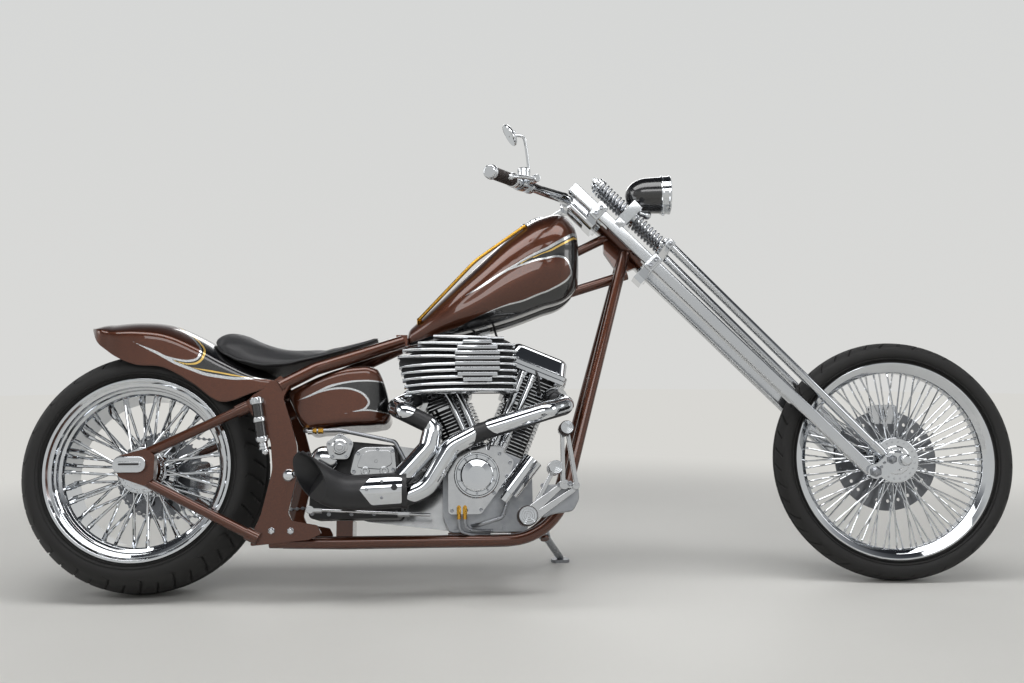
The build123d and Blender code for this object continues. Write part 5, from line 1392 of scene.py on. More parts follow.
class MOTORCYCLE_OT_case_details(Operator):
    """Screws, the round cap, the oil lines and their fittings on the crankcase and the gear case"""

    bl_idname = "motorcycle.case_details"
    bl_label = "Case details"

    def execute(self, context):
        face = -CASE_SIDE - 34
        screws, cap, brass = bmesh.new(), bmesh.new(), bmesh.new()
        for x, z in (
            (828, 352), (828, 206), (866, 206), (905, 208), (940, 252), (975, 296), (984, 332), (956, 356)
        ):
            bolt(screws, (x, face + 0.2, z), -LEFT, 5.2, 4.6)
        middle = Vector((894, face - 12, 298))
        rim = [(43, 0), (60.5, 0), (60.5, 4), (58.5, 6.4), (55.5, 6.4), (53.5, 4), (45, 4), (43, 6), (43, 0)]
        lathe(cap, rim, middle, -LEFT)
        dome = [(0, 9.8), (43.5, 9.8), (43.5, 12), (40, 14), (24, 16), (0, 16.6)]
        lathe(cap, dome, middle, -LEFT, ease=0.5)
        for seat in around(middle, 49, 10, 18, -4):
            bolt(screws, seat, -LEFT, 3.2, 2.6)
        for x, z in ((838, 162), (880, 160), (968, 160), (1016, 162), (1034, 210), (1034, 284), (1022, 330)):
            bolt(screws, (x, -CASE_SIDE + 0.2, z), -LEFT, 6, 6, "hex")
            bolt(screws, (x, CASE_SIDE - 0.2, z), LEFT, 6, 6, "hex")
        for x in (846, 862):
            rod(brass, (x, -142, 196), (x, -142, 214), 6.4, sides=6, ease=0.7)
            rod(brass, (x, -142, 182), (x, -142, 196), 5.2, sides=16)
            rod(brass, (x, -142, 214), (x, -100, 214), 5.0, sides=16)
        for low, high in (((978, -156, 250), (969, -153, 236)), ((437, -96, 434), (437, -110, 426))):
            rod(brass, low, high, 8.5, sides=6, ease=0.8)
        for start, end, radius in ((458, 462, 6.6), (462, 468, 8.6), (472, 486, 8.0)):
            rod(brass, (start, -129.6, 420.6), (end, -129.6, 420.9), radius, sides=6, ease=0.8)
        lines = bmesh.new()
        for route in (
                [(846, -142, 184), (846, -142, 160), (852, -138, 146), (884, -128, 142), (930, -104, 142)],
                [(862, -142, 184), (862, -142, 164), (872, -136, 154), (900, -124, 152), (936, -104, 152)]):
            tube(lines, route, 4.4, sides=3)
        make_piece(lines, "feed_lines", "plated_steel")
        make_piece(screws, "case_screws", "plated_steel")
        make_piece(cap, "timing_cap", "chrome_plate")
        make_piece(brass, "oil_fittings", "drawn_brass")
        return {"FINISHED"}


FIVE_SIDED = Vector((530, -133, 376))
PRIMARY_FACE = 208.0
PRIMARY_SCREWS = (
    (520, 300), (530, 250), (530, 360), (575, 206), (640, 196), (720, 184), (800, 176), (880, 172), (960, 176),
    (1004, 200), (1012, 300), (960, 342), (860, 352), (760, 372), (660, 394), (590, 388),
)
SMALL_COVER, LARGE_COVER = Vector((610, PRIMARY_FACE, 300)), Vector((CRANK.x, PRIMARY_FACE, 252))


class MOTORCYCLE_OT_gearbox_details(Operator):
    """Covers, screws and linkage of the gearbox, and the covers of the primary drive on the left"""

    bl_idname = "motorcycle.gearbox_details"
    bl_label = "Gearbox details"

    def execute(self, context):
        bright, screws = bmesh.new(), bmesh.new()
        plate(bright, [(p.x, p.z) for p in around(FIVE_SIDED, 40, 5, 90)], -133, -125, 9, 1.6)
        boss = [(0, 0), (21, 0), (21, 6), (18, 8), (15, 8), (13.5, 5), (9, 5), (8, 9), (0, 10)]
        lathe(bright, boss, FIVE_SIDED, -LEFT, steps=40)
        for seat in around(FIVE_SIDED, 30, 5, 90):
            bolt(screws, seat, -LEFT, 4, 4)
        dome = [(0, 0), (37, 0), (37, 3), (35, 7), (27, 13), (14, 17), (0, 18)]
        lathe(bright, dome, (488, -116, 344), -LEFT, steps=48)
        lathe(bright, [(9, 0), (16, 0), (16, 8), (9, 8), (9, 0)], (478, -100, 312), -LEFT, steps=24)
        outline = [(556, 304), (570, 364), (592, 378), (674, 378), (682, 310), (620, 290)]
        plate(bright, outline, -126, -117, 9, 3.0)
        raised = [(574, 322), (588, 358), (602, 368), (664, 368), (670, 330), (640, 316)]
        plate(bright, raised, -131, -125, 12, 2.6)
        boss = [(0, 0), (12, 0), (12, 6), (10.5, 8), (6, 8), (5, 5), (0, 5)]
        for x in (598, 648):
            lathe(bright, boss, (x, -125, 312), -LEFT, steps=32)
        for x, z in ((568, 312), (578, 360), (630, 370), (670, 366), (672, 316), (622, 300), (626, 338)):
            bolt(screws, (x, -126, z), -LEFT, 5, 5)
        for x, z in ((456, 204), (500, 202), (560, 202), (620, 202), (680, 204), (462, 262), (470, 300)):
            bolt(screws, (x, -83.8, z), -LEFT, 5.4, 5)
        rod(bright, (452, -98, 214), (770, -118, 196), 4.6, sides=14)
        for x, y, z in ((468, -99, 213), (700, -114, 200)):
            rod(bright, (x - 16, y, z + 0.5), (x + 16, y - 1, z - 0.5), 8, sides=6, ease=1)
        rod(bright, (452, -84, 214), (452, -106, 214), 11, sides=20, ease=1.5)
        face = PRIMARY_FACE
        lathe(bright, [(0, 0), (66, 0), (66, 4), (63, 7), (52, 8.5), (0, 9.5)], SMALL_COVER, LEFT, steps=64)
        lathe(bright, [(0, 0), (78, 0), (78, 3), (72, 9), (56, 13), (0, 15)], LARGE_COVER, LEFT, steps=64)
        plate(bright, [(706, 262), (826, 262), (826, 306), (706, 306)], face, face + 6, 20, 2)
        for seat in around(SMALL_COVER, 58, 5, 18, 6.5):
            bolt(screws, seat, LEFT, 4, 3.5)
        for x in (718, 814):
            bolt(screws, (x, face + 6, 284), LEFT, 4, 3.5)
        for x, z in PRIMARY_SCREWS:
            bolt(screws, (x, face - 1.0, z), LEFT, 5, 6)
        rod(bright, (444, -129.4, 420.3), (458, -129.4, 420.6), 10, sides=4, ease=1.5)
        make_piece(bright, "gearbox_covers", "polished_aluminium")
        make_piece(screws, "gearbox_screws", "plated_steel")
        return {"FINISHED"}


FRONT_PIPE = ((1108, -40, 520), (1142, -120, 486), (1080, -186, 462), (900, -190, 406), (826, -190, 368),
              (762, -190, 262), (690, -190, 232))
REAR_PIPE = (
    (736, -40, 524), (676, -120, 482), (704, -176, 462), (780, -180, 424), (766, -186, 366), (690, -188, 282)
)
PIPE_SHIELDS = (  # pipe, bend radii, shares of its length covered, half angle in degrees
    (FRONT_PIPE, (36, 40, 120, 60, 70), (0.11, 0.545), 78),
    (FRONT_PIPE, (36, 40, 120, 60, 70), (0.585, 0.985), 84),
    (REAR_PIPE, (36, 30, 24, 30), (0.13, 0.47), 80),
    (REAR_PIPE, (36, 30, 24, 30), (0.575, 0.985), 84),
)
PIPE_R = 24.0
SHIELD_FACING = Vector((0, -0.86, 0.51))


def bent_line(points, radii, step=4.0):
    """Points along straight runs joined by arcs of the given radii."""
    corners = [Vector(p) for p in points]
    line = [corners[0]]
    for before, corner, after, radius in zip(corners, corners[1:], corners[2:], radii):
        back, ahead = (before - corner).normalized(), (after - corner).normalized()
        half = back.angle(ahead) / 2
        reach = radius / math.tan(half)
        centre = corner + (back + ahead).normalized() * radius / math.sin(half)
        first, last = corner + back * reach - centre, corner + ahead * reach - centre
        turn = first.angle(last)
        axis = first.cross(last).normalized()
        for k in range(9):
            line.append(centre + Quaternion(axis, turn * k / 8) @ first)
    line.append(corners[-1])
    return [Vector(point) for point in points_at(line, np.arange(0, run_along(np.array(line))[-1], step))]


def shield(bm, line, low, high, radius, thick, half_angle):
    """A bright heat shield that wraps the outer side of a pipe, with both its ends drawn to a blunt point."""
    first, last = int(low * len(line)), int(high * len(line)) - 1
    rings = []
    for index in range(first, last + 1):
        way = (line[min(index + 1, len(line) - 1)] - line[max(index - 1, 0)]).normalized()
        out = (SHIELD_FACING - way * SHIELD_FACING.dot(way)).normalized()
        near = min(index - first, last - index) / 7
        spread = math.radians(half_angle) * (0.35 + 0.65 * math.sin(min(1.0, near) * math.pi / 2))
        turns = [spread * (k / 8 - 1) for k in range(17)]
        outer = [line[index] + Quaternion(way, a) @ out * (radius + thick) for a in turns]
        inner = [line[index] + Quaternion(way, a) @ out * (radius + 0.5) for a in reversed(turns)]
        rings.append(outer + inner)
    loft(bm, rings)


class MOTORCYCLE_OT_exhaust_details(Operator):
    """Bright heat shields over the dark pipes, with flanges, rivets and the clamp of the silencer"""

    bl_idname = "motorcycle.exhaust_details"
    bl_label = "Exhaust details"

    def execute(self, context):
        dark, bright, screws = bmesh.new(), bmesh.new(), bmesh.new()
        for pipe, radii, (low, high), half_angle in PIPE_SHIELDS:
            shield(bright, bent_line(pipe, radii), low, high, PIPE_R, 3.0, half_angle)
        for x, y, z, way in ((1115, -62, 511, (0.25, -0.9, -0.35)), (728, -62, 511, (-0.25, -0.9, -0.35))):
            lathe(bright, [(24, 0), (38, 0), (38, 7), (24, 7), (24, 0)], (x, y, z), way, steps=36, ease=1)
            for turn in (40, 220):
                axis = Vector(way).normalized()
                reach = Quaternion(axis, math.radians(turn)) @ axis.orthogonal().normalized()
                bolt(screws, Vector((x, y, z)) + reach * 32 + axis * 7, axis, 5, 5, "dome")
        for x, z in ((648, 278), (648, 236), (610, 257)):
            seat = (x, -238.6 + abs(z - 257) * 0.2, z)
            lathe(screws, [(0, 0), (4.2, 0), (3.6, 1.6), (2, 2.4), (0, 2.7)], seat, -LEFT, steps=12)
        clamp_outline = [(46.4, 0), (48.6, 0), (48.6, 12), (46.4, 12), (46.4, 0)]
        lathe(dark, clamp_outline, (712, -188, 258), (-1, 0, -0.05), steps=48)
        lathe(dark, [(0, 0), (8, 0), (7.4, 1), (0, 1)], (680, -239.2, 262), -LEFT, steps=24)
        make_piece(bright, "pipe_shields", "chrome_plate", sharp=40)
        make_piece(screws, "exhaust_fixings", "plated_steel")
        make_piece(dark, "muffler_clamp", "black_ceramic")
        return {"FINISHED"}


def strap(bm, start, end, start_width, end_width, low, high, ease):
    """A tapered forged bar between two points of a side view, lying between two Y levels."""
    a, b = Vector((start[0], 0, start[1])), Vector((end[0], 0, end[1]))
    way = (b - a).normalized()
    side = way.cross(LEFT)
    a -= way * start_width * 0.3
    b += way * end_width * 0.3
    near, far = side * start_width / 2, side * end_width / 2
    outline = [a + near, b + far, b - far, a - near]
    plate(bm, [(p.x, p.z) for p in outline], low, high, min(start_width, end_width) * 0.42, ease)


class MOTORCYCLE_OT_foot_details(Operator):
    """Rubber rings, ringed ends and fixings of the foot controls, and the bands of the reservoir"""

    bl_idname = "motorcycle.foot_details"
    bl_label = "Foot control details"

    def execute(self, context):
        rubber, bright, screws = bmesh.new(), bmesh.new(), bmesh.new()
        self.arms()
        for k in range(5):
            seat = (1016, -232 - k * 14, 184)
            lathe(rubber, [(23.1, 0), (25.4, 1.5), (25.4, 8.5), (23.1, 10), (23.1, 0)], seat, -LEFT, steps=40)
        for x, y, z, radius in ((1016, -304, 184, 23), (1117, -320, 402, 16), (1089, -296, 305, 17)):
            rings = [(0, 0)]
            for k in range(4):
                r = radius * (1 - k * 0.24)
                rings[:0] = [
                    (r - radius * 0.10, 0.2), (r - radius * 0.06, 3.0), (r - radius * 0.02, 3.0), (r, 0.2)
                ]
            ringed = [(r, h + 0.6) for r, h in reversed(rings[:-1])]
            lathe(bright, [(0, -4), (radius + 0.3, -4), *ringed, (0, 0.8)], (x, y, z), -LEFT, steps=40)
        for k in range(4):
            seat = (1117, -280 - k * 10, 402)
            lathe(rubber, [(16.1, 0), (17.8, 1.2), (17.8, 6.8), (16.1, 8), (16.1, 0)], seat, -LEFT, steps=32)
        for seat in (
            (1060, -236, 262), (1146, -262, 262), (1126, -278, 264), (1100, -262, 262), (1038, -262, 184)
        ):
            bolt(screws, seat, -LEFT, 6, 6)
        y = -172.3
        top, foot = Vector((315, y, 495)), Vector((333, y, 392))
        way = (foot - top).normalized()
        for low, high in ((-8, 9), (45, 57), (97, 107)):
            band = [(13, low), (16.4, low), (17, low + 2), (17, high - 2), (16.4, high), (13, high)]
            lathe(bright, band, top, way, steps=36)
        for k in range(30):
            turned = Quaternion(way, math.radians(k * 12)) @ way.orthogonal().normalized()
            rod(bright, top + turned * 16.6 - way * 5, top + turned * 16.6 + way * 6, 0.8, sides=5)
        outlet = [(0, 0), (14, 0), (14, 4), (10, 8), (10, 16), (12, 18), (12, 24), (0, 26)]
        lathe(bright, outlet, foot + way, way, steps=24)
        ball(bright, foot + way * 30 + Vector((4, 0, 0)), 10, 20)
        for x, z in ((362, 159), (411, 158)):
            bolt(bright, (x, -155.6, z), -LEFT, 9, 9, "dome")
        knob_outline = [(0, 0), (16, 0), (16, 5), (13, 9), (7, 11), (0, 11.5)]
        lathe(bright, knob_outline, (402, -155.4, 301), -LEFT, steps=32)
        make_piece(rubber, "peg_rubbers", "grip_rubber")
        make_piece(bright, "control_brightwork", "chrome_plate")
        make_piece(screws, "control_screws", "plated_steel")
        return {"FINISHED"}

    def arms(self):
        """The forged arms with their open windows, on a cast block from the rail."""
        cast, forged = bmesh.new(), bmesh.new()
        bracket = [(1040, 196), (1062, 264), (1153, 266), (1154, 226), (1137, 196), (1088, 190), (1060, 180)]
        plate(cast, bracket, -240, -212, 8, 4)
        rod(cast, (1119, -108, 209), (1119, -224, 228), 12, sides=24)
        for start, end, start_width, end_width, low, high, ease in (
                ((1020, 192), (1108, 262), 30, 13, -262, -240, 2.4),
                ((1026, 176), (1138, 250), 22, 13, -262, -240, 2.4),
                ((1106, 262), (1144, 258), 16, 14, -264, -242, 2.4),
                ((1109, 266), (1110, 392), 11, 10, -278, -260, 3),
                ((1143, 262), (1124, 392), 11, 10, -278, -260, 3),
                ((1034, 204), (1086, 298), 12, 11, -256, -240, 2.4)):
            strap(forged, start, end, start_width, end_width, low, high, ease)
        for x, z, radius, low, high, sides, ease in (
                (1016, 184, 26, -264, -238, 40, 2), (1112, 262, 13, -276, -242, 40, 2),
                (1117, 402, 17.5, -282, -258, 40, 2), (1142, 259, 10, -276, -242, 40, 2),
                (1089, 305, 18.5, -258, -236, 40, 2), (1016, 184, 23, -304, -222, 48, 1.6),
                (1117, 402, 16, -320, -262, 48, 1.6), (1089, 305, 17, -296, -236, 48, 1.6)):
            rod(forged, (x, low, z), (x, high, z), radius, sides=sides, ease=ease)
        make_piece(cast, "foot_bracket", "cast_aluminium")
        make_piece(forged, "foot_arms", "polished_aluminium", "foot_controls", 40)


CHAIN_PITCH, CHAIN_Y, TEETH = 15.875, 133.0, 48


class MOTORCYCLE_OT_chain_drive(Operator):
    """The roller chain link by link, and the toothed rear sprocket with its lightening holes drawn as black
    dishes, painted shade in place of open holes
    """

    bl_idname = "motorcycle.chain_drive"
    bl_label = "Chain drive"

    def execute(self, context):
        y, rear, front = CHAIN_Y, REAR_HUB + LEFT * CHAIN_Y, Vector((SMALL_COVER.x, CHAIN_Y, SMALL_COVER.z))
        rear_r, front_r = 121.0, 58.0
        flat = front - rear
        lean, tip = math.atan2(flat.z, flat.x), math.acos((rear_r - front_r) / flat.length)
        line = []
        for centre, radius, first, last in ((rear, rear_r, lean + tip, lean + 2 * math.pi - tip),
                                            (front, front_r, lean - tip, lean + tip)):
            line += [on_circle(centre, radius, angle) for angle in np.linspace(first, last, 60)]
        line.append(line[0])
        count = round(run_along(np.array(line))[-1] / CHAIN_PITCH / 2) * 2
        pins = [Vector(point) for point in spread_evenly(line, count + 1)[:-1]]
        chain, teeth = bmesh.new(), bmesh.new()
        for index, pin in enumerate(pins):
            rod(chain, pin - LEFT * 6.8, pin + LEFT * 6.8, 4.6, sides=8)
            place, length = along(pin, pins[(index + 1) % count])
            reach = 5.8 if index % 2 else 4.0
            for side in (-1, 1):
                block(chain, Matrix.Translation(LEFT * side * reach) @ place, (11.5, 1.6, length + 7), 0)
        rod(chain, front - LEFT * 3.4, front + LEFT * 3.4, front_r - 4, sides=40)
        make_piece(chain, "roller_chain", "plated_steel", "drive_chain")
        outline = []
        for k in range(TEETH):
            for share, radius in ((0.0, 114.5), (0.3, 116), (0.44, 121.5), (0.56, 121.5), (0.7, 116)):
                point = on_circle(rear, radius, 2 * math.pi * (k + share) / TEETH)
                outline.append((point.x, point.z))
        plate(teeth, outline, y - 3.4, y + 3.4, 0, 0)
        lathe(
            teeth, [(14, -7), (46, -7), (46, 7), (38, 9), (14, 9), (14, -7)], rear, LEFT, steps=64, ease=0.8
        )
        lathe(teeth, [(98, 3.2), (108, 3.2), (107, 4.6), (99, 4.6), (98, 3.2)], rear, LEFT, steps=96)
        make_piece(teeth, "rear_sprocket_toothed", "ground_steel", "rear_sprocket", body="rear_wheel")
        # The lightening holes are not cut: black dishes on both faces stand in for them as painted shade
        holes = bmesh.new()
        for reach, radius in ((80, 9.5), (56, 5.0)):
            eye = [(0, 0), (radius, 0), (radius, 0.9), (radius - 1, 0.9), (radius - 2, 0.2), (0, 0.2)]
            for side in (-1, 1):
                for seat in around(rear, reach, 10, 0, side * 3.4):
                    lathe(holes, eye, seat, LEFT * side, steps=18)
        make_piece(holes, "sprocket_holes_painted_shade", "black_ceramic", body="rear_wheel")
        return {"FINISHED"}


class MOTORCYCLE_OT_axle_covers(Operator):
    """The oval covers of the rear axle, each with a raised bar and a thin black plate on it as painted shade
    for a slot
    """

    bl_idname = "motorcycle.axle_covers"
    bl_label = "Axle covers"

    def execute(self, context):
        covers, slots = bmesh.new(), bmesh.new()
        for side in (-1, 1):
            for bm, width, height, corner, low, high, ease in (
                    (covers, 84, 44, 19, 172.6, 187.6, 4.5), (covers, 60, 14, 5, 187.0, 189.2, 1.2),
                    (slots, 52, 5.5, 2.4, 188.6, 189.6, 0.3)):
                x, z = width / 2, height / 2
                near, far = sorted((side * low, side * high))
                plate(bm, [(-x, 331 - z), (x, 331 - z), (x, 331 + z), (-x, 331 + z)], near, far, corner, ease)
        make_piece(covers, "axle_covers", "chrome_plate", sharp=40)
        # The slot is not cut: a thin black plate on the bar stands in for it as painted shade
        make_piece(slots, "axle_cover_slot_shade", "black_ceramic")
        return {"FINISHED"}


# Fork, lamp and handlebar
LEG_Y, SPRING_AHEAD, SPRING_Y = 78.0, 74.0, 25.0
COILS = ((824.0, 933.0), (967.0, 1074.0))  # foot and head of each spring along the fork
COIL_R, COIL_TURNS, COIL_STEPS = 17.0, 8, 14
BAR_MIDDLE = on_fork(1109, -33)
GRIP_START = Vector((1020, -362, 1084))
BAR_CORNER = Vector((BAR_MIDDLE.x, -56, BAR_MIDDLE.z))
BAR_WAY = (GRIP_START - BAR_CORNER).normalized()


def fork_place(s, ahead, y=0.0):
    """The place on the fork with X ahead of it, Y to the left and Z up it."""
    return Matrix.Translation(on_fork(s, ahead, y)) @ Matrix((AHEAD, LEFT, STEM)).transposed().to_4x4()


def mirrored(point, flip):
    """A point of the right half where flip is 1, and its mirror image on the left where it is -1."""
    return Vector((point[0], flip * point[1], point[2]))


class MOTORCYCLE_OT_springs(Operator):
    """The four coil springs of round wire, their cups, rods and nuts, and the perch between them"""

    bl_idname = "motorcycle.springs"
    bl_label = "Fork springs"

    def execute(self, context):
        wire, cups = bmesh.new(), bmesh.new()
        for side in (-1, 1):
            for low, high in COILS:
                points = []
                for k in range(COIL_TURNS * COIL_STEPS + 1):
                    angle = 2 * math.pi * k / COIL_STEPS
                    rise = low + 4 + (high - low - 8) * k / (COIL_TURNS * COIL_STEPS)
                    ahead = SPRING_AHEAD + COIL_R * math.cos(angle)
                    points.append(on_fork(rise, ahead, side * SPRING_Y + COIL_R * math.sin(angle)))
                tube(wire, points, 3.7, sides=2, smooth=1)
                for s in (low, high):
                    lathe(cups, [(6, -3.4), (20, -3.4), (20.6, -2), (20.6, 2), (20, 3.4), (6, 3.4), (6, -3.4)],
                          on_fork(s, SPRING_AHEAD, side * SPRING_Y), STEM, steps=36)
            top = on_fork(1078, SPRING_AHEAD, side * SPRING_Y)
            rod(cups, top - STEM * 262, top + STEM * 22, 7.2, sides=20)
            bolt(cups, top + STEM * 4, STEM, 11.5, 9, "hex")
            bolt(cups, top + STEM * 13, STEM, 11.5, 16, "dome")
        make_piece(wire, "fork_coils", "plated_steel", "fork_springs", 50, body="fork")
        for ahead, size in (
            (SPRING_AHEAD - 2, (44, 100, 31)), (40, (70, 60, 24)), (18, (26, 2 * LEG_Y + 36, 26))
        ):
            block(cups, fork_place(950, ahead), size, 4, 3)
        for side in (-1, 1):
            bolt(cups, on_fork(950, 18, side * (LEG_Y + 18)), LEFT * side, 8.5, 7, "dome")
        make_piece(cups, "spring_cups", "chrome_plate", sharp=36, body="fork")
        return {"FINISHED"}


class MOTORCYCLE_OT_fork_details(Operator):
    """Eased caps on the crowns and legs, pinch bolts, the stem nut and the nuts of the links"""

    bl_idname = "motorcycle.fork_details"
    bl_label = "Fork details"

    def execute(self, context):
        crowns, bolts = bmesh.new(), bmesh.new()
        self.legs()
        for s in (801, 1018):
            block(crowns, fork_place(s, 0), (51.5, 207.5, 31.5), 5, 3)
            for side in (-1, 1):
                block(crowns, fork_place(s, 0, side * 103), (38, 7, 20), 3, 3)
                for ahead in (-11, 11):
                    bolt(bolts, on_fork(s, ahead, side * 106.5), LEFT * side, 6.5, 6)
        for side in (-1, 1):
            block(crowns, fork_place(1121.5, 0, side * LEG_Y), (33, 33, 6), 2.5, 3)
            block(crowns, fork_place(804, 76, side * (LEG_Y + 13.5)), (24, 5, 20), 2, 2)
            bolt(bolts, on_fork(804, 76, side * (LEG_Y + 16)), LEFT * side, 6.5, 6, "dome")
            for s, ahead, radius in ((-46, 4, 16), (-55, 60, 13)):
                bolt(bolts, on_fork(s, ahead, side * 107.0), LEFT * side, radius, 17, "dome")
            for share in (0.25, 0.75):
                bolt(bolts, on_fork(-49 + 3 * share, 4 + 28 * share + 14, side * 107.0), LEFT * side, 4, 4)
            clamp = Vector((BAR_MIDDLE.x, side * 40, BAR_MIDDLE.z))
            for offset in (-7.5, 7.5):
                bolt(bolts, clamp + STEM * 19 + LEFT * offset, STEM, 4, 4.5)
            for seat in around(FRONT_HUB, 30, 10, 0, side * 42.2):
                stud_outline = [(0, -8), (2.6, -8), (2.6, 0.8), (1.6, 1.6), (0, 1.8)]
                lathe(crowns, stud_outline, seat, LEFT * side, steps=10)
        bolt(bolts, on_fork(1033.5, 0), STEM, 19, 12, "hex")
        lathe(bolts, [(0, 0), (14, 0), (14, 2), (8, 4.5), (0, 5)], on_fork(1045, 0), STEM, steps=32)
        make_piece(crowns, "fork_caps", "chrome_plate", sharp=36, body="fork")
        make_piece(bolts, "fork_bolts", "plated_steel", body="fork")
        return {"FINISHED"}

    def legs(self):
        """The two square legs with their eyes, and the two round sprung legs under their cross head."""
        square, sprung = bmesh.new(), bmesh.new()
        foot, link = on_fork(-46, 4), on_fork(-55, 60)
        for side in (-1, 1):
            stack(square, fork_place(0, 0, side * LEG_Y),
                  [(-40, 30, 30, 5), (-38.5, 34, 34, 6), (1119, 34, 34, 6), (1121.5, 30, 30, 5)])
            inner_end, outer_end = (foot + LEFT * side * y for y in (LEG_Y - 17, LEG_Y + 17))
            rod(square, inner_end, outer_end, 19, sides=48, ease=1.5)
            start, top = link + LEFT * side * LEG_Y, on_fork(800, 76, side * LEG_Y)
            rod(sprung, start, top, 12.5, sides=40)
            rod(sprung, start + (top - start) * 0.03, start + (top - start) * 0.075, 15, sides=40, ease=1.5)
            inner_end, outer_end = (link + LEFT * side * y for y in (LEG_Y - 12, LEG_Y + 12))
            rod(sprung, inner_end, outer_end, 15, sides=40, ease=1.5)
            bolt(sprung, on_fork(816, 76, side * LEG_Y), STEM, 11, 12, "dome")
        block(sprung, fork_place(804, 76), (28, 2 * LEG_Y + 28, 24), 4, 3)
        make_piece(square, "square_legs", "polished_steel", "fork_legs", 40, body="fork")
        make_piece(sprung, "sprung_legs", "polished_steel", "spring_legs", 40, body="fork")


LAMP_BACK, LAMP_Z = 1348.0, 1133.0


class MOTORCYCLE_OT_headlamp(Operator):
    """The black bullet shell of the headlamp, its plated rim, reflector, bulb and fixings"""

    bl_idname = "motorcycle.headlamp"
    bl_label = "Headlamp"

    def execute(self, context):
        centre, way = Vector((LAMP_BACK, 0, LAMP_Z)), FORWARD
        shell, rim, bowl, bulb = bmesh.new(), bmesh.new(), bmesh.new(), bmesh.new()
        nose = [(53 * math.sqrt(max(0.0, 1 - (1 - t / 70) ** 2)), t) for t in np.linspace(0, 70, 22)]
        nose[0] = (0.0, 0.0)
        inner = [(r - 2.5, t) for r, t in nose[::-1] if r > 6]
        bowl_outline = [*nose, (54, 84), (54.4, 106), (51.5, 106), (51, 84), *inner, (0, 3)]
        lathe(shell, bowl_outline, centre, way, steps=72)
        make_piece(shell, "headlamp_shell", "black_paint", "headlamp", body="fork")
        outline = [
            (52, 104), (56.5, 104), (57.8, 106), (57.8, 109), (56.2, 111), (56.2, 126), (57.8, 128),
            (57.8, 131.5), (56, 133.6), (51, 133.6), (49.6, 131), (49.6, 126), (52, 125), (52, 104),
        ]
        lathe(rim, outline, centre, way, steps=72)
        place, stem = Vector((1412, 0, 1073)), on_fork(950, 96.2)
        ball(rim, place, 13.2, 32)
        rod(rim, stem, place, 9.2, sides=24)
        rod(rim, stem, stem + (place - stem).normalized() * 8, 14, sides=6, ease=1)
        rod(rim, place + Vector((0, 0, 8)), place + Vector((0, 0, 18)), 10, 14, sides=28)
        bolt(rim, centre + Vector((112, 0, -56)), -UP, 4, 5)
        make_piece(rim, "headlamp_rim", "chrome_plate", body="fork")
        dish = [(9 + 41 * math.sqrt(t), 84 + 42 * t) for t in np.linspace(0, 1, 14)]
        lathe(bowl, [*dish, (50.5, 126), *[(r + 0.6, h - 0.8) for r, h in dish[::-1]]], centre, way, steps=64)
        make_piece(bowl, "headlamp_reflector", "silvered_glass", body="fork")
        rod(bulb, centre + way * 80, centre + way * 98, 9, sides=24)
        ball(bulb, centre + way * 104, 8, 20)
        make_piece(bulb, "headlamp_bulb", "plated_steel", body="fork")
        return {"FINISHED"}


